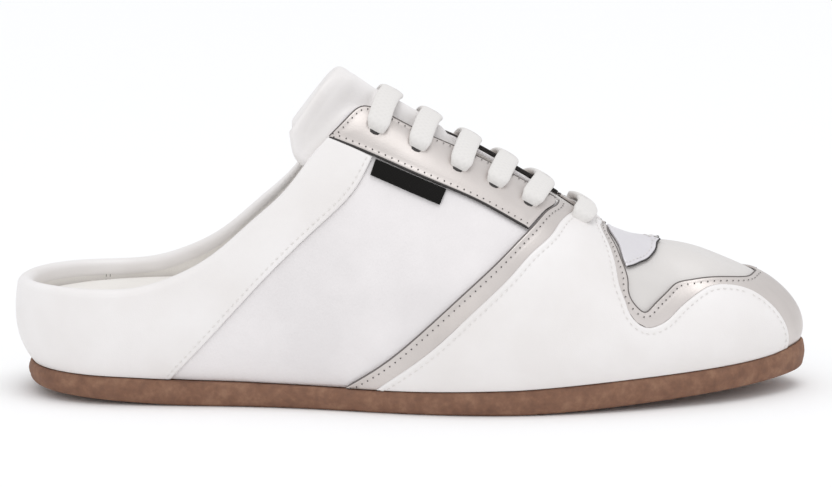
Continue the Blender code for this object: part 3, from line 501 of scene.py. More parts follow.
def denseEdge(corners, offset, count=500):
    line = readLine(corners, np.linspace(0, 1, count))
    return skin(line[:, 0], np.clip(line[:, 1], 0, 1), offset)


def edgeProfile(distance, cut):
    # height of a leather overlay near its cut edge: a rounded edge, a stitched trough, then a soft puff
    roll = np.clip(1 - distance / cut["round"], 0.0, 1.0)
    height = -cut["round"] * (1 - np.sqrt(1 - roll ** 2))
    height = height - cut["groove"] * bell((distance - cut["stitch"]) / cut["grooveWidth"])
    return height + cut["puff"] * (smoothStep((distance - cut["stitch"]) / cut["puffWidth"]) - 1) * (distance < 1)


def makeOverlay(name, grids, freeEdges, cut, materials, node):
    # leather overlay over one or more welded grids: finished face, side walls and back
    line = np.concatenate([denseEdge(edge, cut["high"]) for edge in freeEdges])
    points, faces, slots, uvs, start = [], [], [], [], 0
    for grid in grids:
        along, up = grid[..., 0], np.clip(grid[..., 1], 0, 1)
        base = skin(along, up, cut["high"])
        distance = nearest(base, line)
        top = base + surfaceNormal(along, up) * edgeProfile(distance, cut)[..., None]
        back = skin(along, up, cut["low"])
        rows, columns = along.shape
        size = rows * columns
        number = np.arange(size).reshape(rows, columns) + start
        border = np.concatenate([number[:, 0], number[-1, 1:], number[-2::-1, -1], number[0, -2::-1]])
        parts = [gridFaces(rows, columns, start), gridFaces(rows, columns, start + size)[:, ::-1],
                 wallFaces(border, border + size)]
        points += [top.reshape(-1, 3), back.reshape(-1, 3)]
        lengthwise = np.concatenate([[0], np.cumsum(np.linalg.norm(np.diff(base[:, columns // 2], axis=0), axis=1))])
        across = np.concatenate([[0], np.cumsum(np.linalg.norm(np.diff(base[rows // 2], axis=0), axis=1))])
        place = np.stack(np.meshgrid(lengthwise, across, indexing="ij"), -1).reshape(-1, 2)
        uvs += [place, place]
        faces += parts
        slots += [np.zeros(len(parts[0]) + len(parts[1]), int), np.ones(len(parts[2]), int)]
        start += 2 * size
    faces, slots = np.concatenate(faces), np.concatenate(slots)
    points = np.concatenate(points)
    if len(grids) > 1:
        faces, slots = dropSharedWalls(points, faces, slots)
    piece = addPiece(name, points, faces, materials, slots, np.concatenate(uvs))
    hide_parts(node)
    return piece


def dropSharedWalls(points, faces, slots):
    # the walls where two grids are welded lie inside the piece, so both copies go
    key = np.round(points[faces].mean(1) * 1e6).astype(np.int64)
    _, back, count = np.unique(key, axis=0, return_inverse=True, return_counts=True)
    keep = ~((slots == 1) & (count[back.ravel()] > 1))
    return faces[keep], slots[keep]


def insetLine(line, inset, offset):
    # the (along, up) line moved sideways over the surface; a positive inset is to the left of its run
    along, up = line[:, 0], line[:, 1]
    small = 1e-3
    byAlong = (lastSurface(along + small, up) - lastSurface(along - small, up)) / (2 * small)
    high, low = np.clip(up + small, 0, 1), np.clip(up - small, 0, 1)
    byUp = (lastSurface(along, high) - lastSurface(along, low)) / (high - low)[:, None]
    run = np.gradient(line, axis=0)
    tangent = unit(byAlong * run[:, :1] + byUp * run[:, 1:])
    side = unit(np.cross(surfaceNormal(along, up), tangent)) * inset
    aa, au, uu = (byAlong ** 2).sum(-1), (byAlong * byUp).sum(-1), (byUp ** 2).sum(-1)
    sa, su = (side * byAlong).sum(-1), (side * byUp).sum(-1)
    scale = aa * uu - au ** 2
    moved = line + np.stack([(sa * uu - su * au) / scale, (su * aa - sa * au) / scale], -1)
    return moved


def tubeAlong(path, normals, radii, sides=8, flat=1.0):
    # round profile carried along a path, with closed ends
    tangent = unit(np.gradient(path, axis=0))
    across = unit(np.cross(tangent, normals))
    over = np.cross(across, tangent)
    turn = np.linspace(0, 2 * np.pi, sides, endpoint=False)
    ring = across[:, None] * np.cos(turn)[None, :, None] + over[:, None] * np.sin(turn)[None, :, None] * flat
    points = path[:, None] + ring * np.asarray(radii)[:, None, None]
    count = len(path)
    points = np.concatenate([points.reshape(-1, 3), path[:1], path[-1:]])
    faces = gridFaces(count, sides, wrap=True)
    around = np.arange(sides)
    follow = (around + 1) % sides
    last = count * sides
    caps = np.concatenate([np.stack([follow, around, np.full(sides, last), np.full(sides, last)], -1),
                           np.stack([around, follow, np.full(sides, last + 1), np.full(sides, last + 1)], -1)
                           + np.array([last - sides, last - sides, 0, 0])])
    return points, faces, caps[:, :3]


def smallShape(rings, sides, halfLength, radius, flat):
    # capsule of a few dozen faces lying along x: a sine profile between two poles
    angle = np.linspace(0, np.pi, rings + 2)[1:-1]
    turn = np.linspace(0, 2 * np.pi, sides, endpoint=False)
    x = -np.cos(angle) * halfLength
    r = np.sin(angle) ** 0.7 * radius
    ring = np.stack([np.repeat(x, sides), (r[:, None] * np.cos(turn)).ravel(), (r[:, None] * np.sin(turn)).ravel() * flat], -1)
    points = np.concatenate([ring, [[-halfLength, 0, 0], [halfLength, 0, 0]]])
    quads = gridFaces(rings, sides, wrap=True)
    a = np.arange(sides)
    b = (a + 1) % sides
    low = np.stack([b, a, np.full(sides, rings * sides)], -1)
    high = np.stack([a + (rings - 1) * sides, b + (rings - 1) * sides, np.full(sides, rings * sides + 1)], -1)
    return points, quads, np.concatenate([low, high])


def scatterShapes(name, shape, places, runs, normals, materials, slot):
    # one joined mesh with the small shape laid at each place, along its run and up its normal
    template, quads, tris = shape
    side = unit(np.cross(normals, runs))
    frames = np.stack([unit(runs), side, unit(normals)], 1)
    points = places[:, None] + np.einsum("kc,ncd->nkd", template, frames)
    shift = (np.arange(len(places)) * len(template))[:, None, None]
    faceList = (quads[None] + shift).reshape(-1, 4).tolist() + (tris[None] + shift).reshape(-1, 3).tolist()
    mesh = bpy.data.meshes.new(name)
    mesh.from_pydata(points.reshape(-1, 3).tolist(), [], faceList)
    mesh.shade_smooth()
    for material in materials:
        mesh.materials.append(material)
    piece = bpy.data.objects.new(name, mesh)
    bpy.context.scene.collection.objects.link(piece)
    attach(piece, "root")
    return piece


# Materials, made before the pieces that wear them

def bumpFrom(tree, shader, height, strength, distance):
    bump = addNode(tree, "ShaderNodeBump", {"Strength": strength, "Distance": distance}, {"Height": height})
    tree.links.new(bump.outputs["Normal"], shader.inputs["Normal"])


def colourBetween(tree, shader, factor, first, second):
    mix = addNode(tree, "ShaderNodeMix", {"data_type": "RGBA"}, {0: factor})
    mix.inputs[6].default_value = hexLinear(first)
    mix.inputs[7].default_value = hexLinear(second)
    tree.links.new(mix.outputs[2], shader.inputs["Base Color"])


def rangeOf(tree, value, low, high, newLow, newHigh):
    node = addNode(tree, "ShaderNodeMapRange",
                   {"From Min": low, "From Max": high, "To Min": newLow, "To Max": newHigh}, {"Value": value})
    return node.outputs["Result"]


leather = {
    "white": ("#EFECEB", "#E7E3E1"),
    "vamp": ("#DAD6D3", "#D2CECB"),
    "lining": ("#F0EDE9", "#E8E4DF"),
    "grainWidth": 0.0007,        # width of one grain cell
    "roughness": (0.38, 0.50),
}


def makeSmoothLeather(name, colours, coat=0.12, roughness=None, grain=0.10):
    # coated full-grain leather, drum dyed and plated: a fine even grain and a soft satin gloss
    low, high = roughness or leather["roughness"]
    material, tree, shader = newMaterial(name, IOR=1.5)
    shader.inputs["Coat Weight"].default_value = coat
    shader.inputs["Coat Roughness"].default_value = 0.25
    place = addNode(tree, "ShaderNodeTexCoord").outputs["Object"]
    cells = addNode(tree, "ShaderNodeTexVoronoi",
                    {"Scale": 1 / leather["grainWidth"], "feature": "DISTANCE_TO_EDGE"}, {"Vector": place})
    cloud = addNode(tree, "ShaderNodeTexNoise", {"Scale": 28.0, "Detail": 4.0}, {"Vector": place})
    pores = addNode(tree, "ShaderNodeTexNoise", {"Scale": 900.0, "Detail": 2.0}, {"Vector": place})
    colourBetween(tree, shader, rangeOf(tree, cloud.outputs["Fac"], 0.35, 0.65, 0.0, 1.0), *colours)
    tree.links.new(rangeOf(tree, cloud.outputs["Fac"], 0.3, 0.7, low, high), shader.inputs["Roughness"])
    height = addNode(tree, "ShaderNodeMath", {"operation": "MULTIPLY_ADD", 1: 0.35},
                     {0: pores.outputs["Fac"], 2: cells.outputs["Distance"]})
    bumpFrom(tree, shader, height.outputs[0], grain, 0.0004)
    return material


silver = {
    "colours": ("#D3CCC8", "#C8C1BD"),
    "grainWidth": 0.0009,
    "metallic": 0.45,
    "roughness": (0.32, 0.44),
}


def makeSilverLeather(name, colours):
    # leather under a rolled-on metal foil: bright, slightly uneven gloss over a faint grain
    material, tree, shader = newMaterial(name, Metallic=silver["metallic"])
    shader.inputs["Coat Weight"].default_value = 0.15
    shader.inputs["Coat Roughness"].default_value = 0.20
    place = addNode(tree, "ShaderNodeTexCoord").outputs["Object"]
    cloud = addNode(tree, "ShaderNodeTexNoise", {"Scale": 36.0, "Detail": 5.0, "Distortion": 0.6}, {"Vector": place})
    cells = addNode(tree, "ShaderNodeTexVoronoi",
                    {"Scale": 1 / silver["grainWidth"], "feature": "DISTANCE_TO_EDGE"}, {"Vector": place})
    colourBetween(tree, shader, rangeOf(tree, cloud.outputs["Fac"], 0.35, 0.65, 0.0, 1.0), *colours)
    tree.links.new(rangeOf(tree, cloud.outputs["Fac"], 0.3, 0.7, *silver["roughness"]), shader.inputs["Roughness"])
    height = addNode(tree, "ShaderNodeMath", {"operation": "MULTIPLY_ADD", 1: 1.2},
                     {0: cloud.outputs["Fac"], 2: cells.outputs["Distance"]})
    bumpFrom(tree, shader, height.outputs[0], 0.08, 0.0004)
    return material


def makeQuarterCloth():
    # white coated textile with a fine embossed square grain, 1.1 mm apart
    material, tree, shader = newMaterial("coatedTextileEmbossed", Roughness=0.55)
    shader.inputs["Sheen Weight"].default_value = 0.10
    place = addNode(tree, "ShaderNodeTexCoord").outputs["Object"]
    spacing = 2 * np.pi / 0.0011 / 20
    turned = addNode(tree, "ShaderNodeMapping", {"Rotation": (0, 0.45, 0)}, {"Vector": place})
    ribs = addNode(tree, "ShaderNodeTexWave", {"Scale": spacing, "bands_direction": "X"}, {"Vector": turned.outputs[0]})
    rows = addNode(tree, "ShaderNodeTexWave", {"Scale": spacing, "bands_direction": "Z"}, {"Vector": turned.outputs[0]})
    cloud = addNode(tree, "ShaderNodeTexNoise", {"Scale": 45.0, "Detail": 4.0}, {"Vector": place})
    colourBetween(tree, shader, rangeOf(tree, cloud.outputs["Fac"], 0.35, 0.65, 0.0, 1.0), "#EAE6E6", "#E2DEDE")
    weave = addNode(tree, "ShaderNodeMath", {"operation": "MULTIPLY"}, {0: ribs.outputs["Fac"], 1: rows.outputs["Fac"]})
    bumpFrom(tree, shader, weave.outputs[0], 0.12, 0.0003)
    return material


def makeCrepeRubber():
    # milled crepe rubber, cut from sheet: matt, cork-brown, mottled with darker crumb
    material, tree, shader = newMaterial("crepeRubberMilled", IOR=1.52)
    place = addNode(tree, "ShaderNodeTexCoord").outputs["Object"]
    crumb = addNode(tree, "ShaderNodeTexNoise", {"Scale": 420.0, "Detail": 6.0, "Roughness": 0.65}, {"Vector": place})
    patch = addNode(tree, "ShaderNodeTexNoise", {"Scale": 160.0, "Detail": 5.0}, {"Vector": place})
    both = addNode(tree, "ShaderNodeMath", {"operation": "MULTIPLY_ADD", 1: 1.1},
                   {0: crumb.outputs["Fac"], 2: patch.outputs["Fac"]})
    ramp = addNode(tree, "ShaderNodeValToRGB", {}, {"Fac": rangeOf(tree, both.outputs[0], 0.70, 1.40, 0.0, 1.0)})
    ramp.color_ramp.elements[0].color = hexLinear("#6C4B3A")
    ramp.color_ramp.elements[1].color = hexLinear("#95715A")
    middle = ramp.color_ramp.elements.new(0.5)
    middle.color = hexLinear("#805C48")
    tree.links.new(ramp.outputs["Color"], shader.inputs["Base Color"])
    tree.links.new(rangeOf(tree, crumb.outputs["Fac"], 0.3, 0.7, 0.70, 0.92), shader.inputs["Roughness"])
    bumpFrom(tree, shader, crumb.outputs["Fac"], 0.45, 0.0006)
    return material


def makeLaceCloth():
    # flat cotton lace, braided: rows of slanted plaits along its length, 1.2 mm apart
    material, tree, shader = newMaterial("cottonLaceBraided", Roughness=0.80)
    shader.inputs["Sheen Weight"].default_value = 0.05
    place = addNode(tree, "ShaderNodeUVMap", {"uv_map": "cloth"}).outputs["UV"]
    plait = 2 * np.pi / 0.0012 / 20
    waves = []
    for slant in (0.9, -0.9):
        turned = addNode(tree, "ShaderNodeMapping", {"Rotation": (0, 0, slant)}, {"Vector": place})
        waves.append(addNode(tree, "ShaderNodeTexWave", {"Scale": plait}, {"Vector": turned.outputs[0]}).outputs["Fac"])
    weave = addNode(tree, "ShaderNodeMath", {"operation": "MAXIMUM"}, {0: waves[0], 1: waves[1]})
    colourBetween(tree, shader, weave.outputs[0], "#DFDCD9", "#E3E0DD")
    bumpFrom(tree, shader, weave.outputs[0], 0.07, 0.0002)
    return material


def makePlainMaterial(name, colour, roughness, bumpScale=1500.0, strength=0.3):
    # thread, edge paint, ribbon, or the painted shade of holes and gaps: one colour with a fine fibre
    material, tree, shader = newMaterial(name, Roughness=roughness)
    place = addNode(tree, "ShaderNodeTexCoord").outputs["Object"]
    fibre = addNode(tree, "ShaderNodeTexNoise", {"Scale": bumpScale, "Detail": 3.0}, {"Vector": place})
    shade = "#" + "".join(f"{min(255, int(int(colour[i:i + 2], 16) * 0.9)):02X}" for i in (1, 3, 5))
    colourBetween(tree, shader, fibre.outputs["Fac"], colour, shade)
    bumpFrom(tree, shader, fibre.outputs["Fac"], strength, 0.0002)
    return material


def makeRibbon():
    # black polyester ribbon, plain woven, threads 0.5 mm apart
    material, tree, shader = newMaterial("polyesterRibbonWoven", Roughness=0.80)
    shader.inputs["Specular IOR Level"].default_value = 0.15
    shader.inputs["Sheen Weight"].default_value = 0.05
    place = addNode(tree, "ShaderNodeUVMap", {"uv_map": "cloth"}).outputs["UV"]
    thread = 2 * np.pi / 0.0005 / 20
    warp = addNode(tree, "ShaderNodeTexWave", {"Scale": thread, "bands_direction": "X"}, {"Vector": place})
    weft = addNode(tree, "ShaderNodeTexWave", {"Scale": thread, "bands_direction": "Y"}, {"Vector": place})
    weave = addNode(tree, "ShaderNodeMath", {"operation": "MULTIPLY"}, {0: warp.outputs["Fac"], 1: weft.outputs["Fac"]})
    colourBetween(tree, shader, weave.outputs[0], "#0B0A09", "#1B1816")
    bumpFrom(tree, shader, weave.outputs[0], 0.4, 0.0002)
    return material


finish = {
    "white": makeSmoothLeather("calfLeatherWhitePlated", leather["white"]),
    "vamp": makeSmoothLeather("calfLeatherVampPlated", leather["vamp"]),
    "lining": makeSmoothLeather("pigLeatherLiningNatural", leather["lining"], 0.0, (0.55, 0.68), 0.18),
    "silver": makeSilverLeather("foilLeatherSilver", silver["colours"]),
    "tab": makeSilverLeather("foilLeatherPale", ("#E6E3E6", "#DDDADE")),
    "quarter": makeQuarterCloth(),
    "crepe": makeCrepeRubber(),
    "lace": makeLaceCloth(),
    # the black edge paint also serves as the painted shade inside the lace holes
    "blackEdgeAndHoleShade": makePlainMaterial("edgePaintBlackAndHoleShade", "#2E2A28", 0.55),
    # the grey edge paint also draws the painted gap shadow along the outer stay's upper edge
    "greyEdgeAndGapShade": makePlainMaterial("edgePaintGreyAndGapShade", "#6F6866", 0.6),
    "whiteThread": makePlainMaterial("polyesterThreadWhite", "#EFECE8", 0.6),
    "liningThread": makePlainMaterial("polyesterThreadGrey", "#A8A6A0", 0.6),
    "holeShadeDots": makePlainMaterial("needleHoleShade", "#4A4543", 0.8),
    "ribbon": makeRibbon(),
}
print("materials made")

# Sole

sole = {
    "margin": 0.0010,
    "lowerRound": 0.0020,
    "upperRound": 0.0010,
    "columns": 520,
    "sections": 18,
    "sideSwell": 0.0005,         # the cut side bows out a little
}


def crossGrid(lateral, medial, sections, height=None):
    # strips across the shoe between two sides; height gives z from x and the share across
    share = np.linspace(0, 1, sections + 1)[None, :, None]
    points = lateral[:, None] * (1 - share) + medial[:, None] * share
    if height is not None:
        points[..., 2] = height(points[..., 0], share[..., 0])
    return points


def ringSides(ring, half):
    # a closed ring as its lateral row and medial row, both from heel to toe
    lateral = ring[:half + 1]
    medial = np.concatenate([ring[:1], ring[:half - 1:-1]])
    return lateral, medial


def makeSole():
    # a rounded profile carried round the outline, closed above and below
    half = sole["columns"] // 2
    along = np.linspace(0, 2, sole["columns"], endpoint=False)
    x, y, outX, outY = outline(along)
    low, high = sole["lowerRound"], sole["upperRound"]
    angle = np.radians(np.linspace(0, 90, 6))
    lower = [(-low + low * np.sin(a), low - low * np.cos(a), 0) for a in angle]
    side = [(sole["sideSwell"] * np.sin(np.pi * t), t, 0.5) for t in (0.25, 0.5, 0.75)]
    upper = [(-high + high * np.cos(a), -high + high * np.sin(a), 1) for a in angle]
    rings = []
    for inset, rise, part in lower + side + upper:
        edgeX, edgeY = x + outX * (sole["margin"] + inset), y + outY * (sole["margin"] + inset)
        bottom, top = soleBottom(edgeX), np.minimum(soleTop(x), soleTop(edgeX))
        if part == 0:
            z = bottom + rise
        elif part == 1:
            z = top + rise
        else:
            z = (bottom + low) * (1 - rise) + (top - high) * rise
        rings.append(np.stack([edgeX, edgeY, z], -1))
    rings = np.array(rings)
    count = len(along)
    points, faces = [rings.reshape(-1, 3)], [gridFaces(len(rings), count, wrap=True)]
    start = rings.shape[0] * count
    for ring, height in ((rings[0], lambda px, _: soleBottom(px)), (rings[-1], None)):
        grid = crossGrid(*ringSides(ring, half), sole["sections"], height)
        points.append(grid.reshape(-1, 3))
        faces.append(gridFaces(grid.shape[0], grid.shape[1], start))
        start += grid.shape[0] * grid.shape[1]
    piece = addPiece("soleCrepe", np.concatenate(points), np.concatenate(faces), [finish["crepe"]], merge=2e-6)
    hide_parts("outsole")


makeSole()
print("sole made")

# Footbed

footbed = {
    "height": 0.0325,
    "cup": 0.0022,
    "softGap": 0.0008,
    "columns": 320,
    "sections": 36,
    "edgeRoll": 0.0012,
}
footbedTable = np.array((
    (-0.5000, 0.945, 0.9), (-0.3600, 1.000, 1.0), (-0.2400, 0.985, 1.0), (-0.1600, 0.890, 0.8), (-0.0700, 0.725, 0.5),
    (0.0500, 0.530, 0.3), (0.1500, 0.455, 0.2), (0.2700, 0.465, 0.2), (0.3800, 0.520, 0.1), (0.4900, 0.620, 0.0),
))


def footbedHeight(x, share):
    # edge height along the shoe, less a parabola for the cup and a roll down at the wall
    edge = naturalSpline(placeAlong(footbedTable[:, 0]), footbedTable[:, 1] * footbed["height"], x)
    cup = naturalSpline(placeAlong(footbedTable[:, 0]), footbedTable[:, 2] * footbed["cup"], x)
    roll = footbed["edgeRoll"] * bell(np.minimum(share, 1 - share) / 0.02)
    return edge - cup * (1 - (2 * share - 1) ** 2) - roll


def makeFootbed():
    half = footbed["columns"] // 2
    along = np.linspace(0, 2, footbed["columns"], endpoint=False)
    levels = np.linspace(0.0, 0.3, 201)
    gridAlong, gridUp = np.meshgrid(along, levels, indexing="ij")
    side = lastSurface(gridAlong, gridUp)
    side = side + surfaceNormal(gridAlong, gridUp) * (wallInside(gridAlong, gridUp) - footbed["softGap"])[..., None]
    wanted = footbedHeight(side[..., 0], 0.0)
    over = side[..., 2] - wanted
    reach = np.argmax(over > 0, axis=1)
    row = np.arange(len(along))
    before, after = over[row, reach - 1], over[row, reach]
    topUp = levels[reach - 1] + (levels[1] - levels[0]) * before / (before - after)
    rings = []
    for share in (0.0, 0.35, 0.7, 1.0):
        up = topUp * share
        offset = wallInside(along, up) - footbed["softGap"]
        rings.append(lastSurface(along, up) + surfaceNormal(along, up) * offset[:, None])
    rings = np.array(rings)
    rings[-1, :, 2] = footbedHeight(rings[-1, :, 0], 0.0)
    count = len(along)
    points, faces = [rings.reshape(-1, 3)], [gridFaces(len(rings), count, wrap=True)]
    start = len(rings) * count
    for ring, height, sections in ((rings[0], None, 2), (rings[-1], footbedHeight, footbed["sections"])):
        grid = crossGrid(*ringSides(ring, half), sections, height)
        grid[:, 0], grid[:, -1] = ringSides(ring, half)
        points.append(grid.reshape(-1, 3))
        faces.append(gridFaces(grid.shape[0], grid.shape[1], start))
        start += grid.shape[0] * grid.shape[1]
    piece = addPiece("footbedLeather", np.concatenate(points), np.concatenate(faces), [finish["lining"]], merge=2e-6)
    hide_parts("insole")


makeFootbed()
print("footbed made")

# Shell

shell = {
    "columns": 480,
    "rows": 56,
    "rowCrowding": 1.2,
    "rimTurns": (25, 50, 75, 100, 125, 150),
}


def makeShell():
    # outer face, rounded rim and inner face of the one hollow wall, open at collar, throat and below
    count = shell["columns"]
    along = np.linspace(0, 2, count, endpoint=False)
    top = collarUp(along)
    rowShare = (np.arange(shell["rows"] + 1) / shell["rows"]) ** shell["rowCrowding"]
    rings = [skin(along, top * share, -setBack) for share in rowShare]
    inside = wallInside(along, top)
    closed = top > 1 - 1e-6
    outer, inner = skin(along, top, -setBack), skin(along, top, inside)
    rise = unit(skin(along, top, inside / 2) - skin(along, top - 0.002, inside / 2))
    for turn in shell["rimTurns"]:
        share = (1 - np.cos(np.radians(turn))) / 2
        lift = np.where(closed, 0.0, np.sin(np.radians(turn)) * (-setBack - inside) / 2)
        rings.append(outer * (1 - share) + inner * share + rise * lift[:, None])
    rings += [skin(along, top * share, wallInside(along, top * share)) for share in rowShare[::-1]]
    rings = np.array(rings)
    turns = len(shell["rimTurns"])
    total = len(rings)
    i = np.arange(total)[:, None]
    j = np.arange(count)[None]
    k = (j + 1) % count
    follow = (i + 1) % total
    quads = np.stack([i * count + j, i * count + k, follow * count + k, follow * count + j], -1)
    overRim = (i >= shell["rows"]) & (i <= shell["rows"] + turns)
    keep = ~(overRim & closed[j] & closed[k])
    slot = np.zeros((total, count), int)
    slot[:] = np.where(folded(along) < 0.64, 1, 0)[None]
    slot[shell["rows"] + turns // 2 + 1:] = 2
    piece = addPiece("leatherShell", rings, quads[keep], [finish["vamp"], finish["quarter"], finish["lining"]], slot[keep])
    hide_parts("upper")


makeShell()
print("shell made")

# Overlay edges, as (along, up); "Outer" and "Inner" are for one side, the others mirror for both
heelSeam = ((0.286, 0.000), (0.327, 0.088), (0.370, 0.195), (0.420, 0.340), (0.446, 0.445), (0.4610, 0.572))
stayLower = ((0.422, 0.583), (0.450, 0.583), (0.523, 0.583), (0.554, 0.581), (0.577, 0.567), (0.5970, 0.551))
stayFrontOuter = ((0.5970, 0.551), (0.607, 0.618), (0.622, 0.720), (0.634, 0.795), (0.643, 0.880))
stayFrontInner = ((0.5970, 0.551), (0.607, 0.618), (0.622, 0.720), (0.634, 0.795), (0.648, 0.890), (0.655, 0.965))
stayUpperOuter = ((0.464, 0.795), (0.500, 0.795), (0.531, 0.816), (0.562, 0.841), (0.600, 0.856), (0.643, 0.880))
stayUpperInner = ((0.464, 0.795), (0.500, 0.806), (0.531, 0.866), (0.562, 0.930), (0.600, 0.955), (0.655, 0.965))
stayRear = ((0.422, 0.583), (0.432, 0.645), (0.441, 0.715), (0.452, 0.775), (0.464, 0.795))
stripRearOuter = ((0.442, 0.000), (0.471, 0.048), (0.503, 0.130), (0.534, 0.235), (0.568, 0.378), (0.587, 0.480),
                  (0.599, 0.551), (0.609, 0.618), (0.624, 0.720), (0.6365, 0.795), (0.6465, 0.880))
stripRearInner = stripRearOuter[:-1] + ((0.6515, 0.890), (0.6590, 0.965))
stripFrontOuter = ((0.467, 0.000), (0.487, 0.037), (0.511, 0.092), (0.542, 0.193), (0.576, 0.333), (0.594, 0.432),
                   (0.617, 0.557), (0.631, 0.662), (0.650, 0.785), (0.6600, 0.845), (0.6700, 0.905))
stripFrontInner = stripFrontOuter + ((0.6790, 0.965),)
trimInner = ((0.7195, 0.975), (0.7085, 0.930), (0.6970, 0.868), (0.687, 0.713), (0.680, 0.510), (0.678, 0.427),
             (0.680, 0.343), (0.685, 0.267), (0.695, 0.239), (0.708, 0.257), (0.737, 0.369), (0.760, 0.442),
             (0.786, 0.478), (0.822, 0.448), (0.851, 0.393), (0.877, 0.284), (0.894, 0.142), (0.9030, 0.000))
trimOuter = ((0.7275, 0.975), (0.7175, 0.930), (0.7070, 0.868), (0.698, 0.718), (0.694, 0.633), (0.690, 0.485),
             (0.690, 0.345), (0.697, 0.320), (0.706, 0.350), (0.720, 0.420), (0.740, 0.505), (0.760, 0.560),
             (0.788, 0.547), (0.816, 0.515), (0.851, 0.497), (0.877, 0.512), (0.919, 0.560), (0.967, 0.592),
             (1.000, 0.600))
tabRear = ((0.6975, 0.590), (0.6990, 0.640), (0.7040, 0.710), (0.7110, 0.790), (0.7165, 0.868), (0.7225, 0.930),
           (0.7320, 0.975), (0.7380, 1.000))
tabFront = ((0.6975, 0.590), (0.7080, 0.624), (0.7240, 0.682), (0.7420, 0.738), (0.7610, 0.795), (0.7790, 0.843),
            (0.8010, 0.900), (0.8370, 0.950), (0.8720, 1.000))
sideTabCorners = ((0.4640, 0.570), (0.5250, 0.570), (0.5190, 0.504), (0.4600, 0.512))

cuts = {
    # high and low are offsets of the finished face and of the back; the rest shapes the edge
    "silver": {"high": 0.0, "low": -0.0010, "round": 0.00035, "stitch": 0.0017, "groove": 0.00010,
               "grooveWidth": 0.0006, "puff": 0.00015, "puffWidth": 0.004},
    "guard": {"high": 0.0007, "low": -0.0010, "round": 0.0009, "stitch": 0.0021, "groove": 0.00012,
              "grooveWidth": 0.0007, "puff": 0.00025, "puffWidth": 0.008},
    "heel": {"high": 0.0, "low": -0.0010, "round": 0.0006, "stitch": 0.0016, "groove": 0.00008,
             "grooveWidth": 0.0006, "puff": 0.00012, "puffWidth": 0.005},
    "ribbon": {"high": -0.0002, "low": -0.0010, "round": 0.0002, "stitch": 0.0010, "groove": 0.0,
               "grooveWidth": 0.001, "puff": 0.0, "puffWidth": 0.004},
}


def onSide(side, line):
    return line if side == "lateral" else mirrorLine(line)


def edgesOf(side):
    # stay's upper and front edge, strip's rear and front edge, each on its own side of the shoe
    if side == "lateral":
        return stayUpperOuter, stayFrontOuter, stripRearOuter, stripFrontOuter
    return [mirrorLine(line) for line in (stayUpperInner, stayFrontInner, stripRearInner, stripFrontInner)]


def makeStay(side):
    upper, front = edgesOf(side)[:2]
    lower, rear = onSide(side, stayLower), onSide(side, stayRear)
    grid = patchGrid(lower, front, upper, rear, 0.0009)
    makeOverlay(f"laceStay{side.title()}", [grid], [lower, front, upper, rear], cuts["silver"],
                [finish["silver"], finish["blackEdgeAndHoleShade"]], f"eyestay_{side}")


def makeStrip(side):
    # its front edge lies under the mudguard, so only the rear edge is rounded
    rear, front = edgesOf(side)[2:]
    grid = patchGrid((rear[0], front[0]), front, (rear[-1], front[-1]), rear, 0.0009)
    makeOverlay(f"stripSilver{side.title()}", [grid], [rear], cuts["silver"],
                [finish["silver"], finish["silver"]], f"trim_{side}")


def guardEdges():
    # the toe trim's inner edge cut at the notch and at the end of the lobe
    dense = readLine(trimInner, np.linspace(0, 1, 161))
    notch = int(np.argmin(np.where(dense[:, 0] < 0.75, dense[:, 1], 1)))
    lobe = int(np.argmin(np.abs(dense[:, 0] - 0.851)))
    lines = dense[:notch + 1][::-1], dense[notch:lobe + 1], dense[lobe:][::-1]
    return [tuple(map(tuple, line)) for line in lines]


guardRise, guardToe, guardEnd = guardEdges()


def makeGuard(side):
    # two welded grids: the tall part behind the notch and the lobe in front of it
    rear = edgesOf(side)[3]
    riseLine, toeLine, endLine = (onSide(side, line) for line in (guardRise, guardToe, guardEnd))
    notch = riseLine[0]
    foot = (notch[0], 0.0)
    step = 0.0011
    seamShares = crowdedShares(lineLength((foot, notch)), step)
    riseShares = crowdedShares(lineLength(riseLine), step)
    share = lineLength((foot, notch)) / (lineLength((foot, notch)) + lineLength(riseLine))
    v = np.concatenate([seamShares * share, share + riseShares[1:] * (1 - share)])
    right = np.concatenate([readLine((foot, notch), seamShares), readLine(riseLine, riseShares)[1:]])
    u = crowdedShares(0.070, step)
    top = readLine((rear[-1], riseLine[-1]), u)
    back = coonsPatch(readLine((rear[0], foot), u), right, top, readLine(rear, v), u, v)
    u = crowdedShares(0.060, step)
    lobe = coonsPatch(readLine((foot, endLine[0]), u), readLine(endLine, seamShares), readLine(toeLine, u),
                      readLine((foot, notch), seamShares), u, seamShares)
    makeOverlay(f"mudguard{side.title()}", [back, lobe], [rear, riseLine, toeLine, endLine, (rear[-1], riseLine[-1])],
                cuts["guard"], [finish["white"], finish["white"]], f"mudguard_{side}")


for side in ("lateral", "medial"):
    makeStay(side)
    makeStrip(side)
    makeGuard(side)
print("stays, strips and mudguards made")


toeTrim = {
    # corners that face each other, of the inner and of the outer edge; a half lies between two corners
    "pairs": ((0, 0), (1, 1), (2, 2), (3, 3), (4, 5), (6, 6), (8, 7), (9, 8), (10, 9), (11, 10), (12, 11), (13, 13),
              (14, 14), (15, 15), (16, 15.5), (17, 16)),
    "step": 0.0009,
}


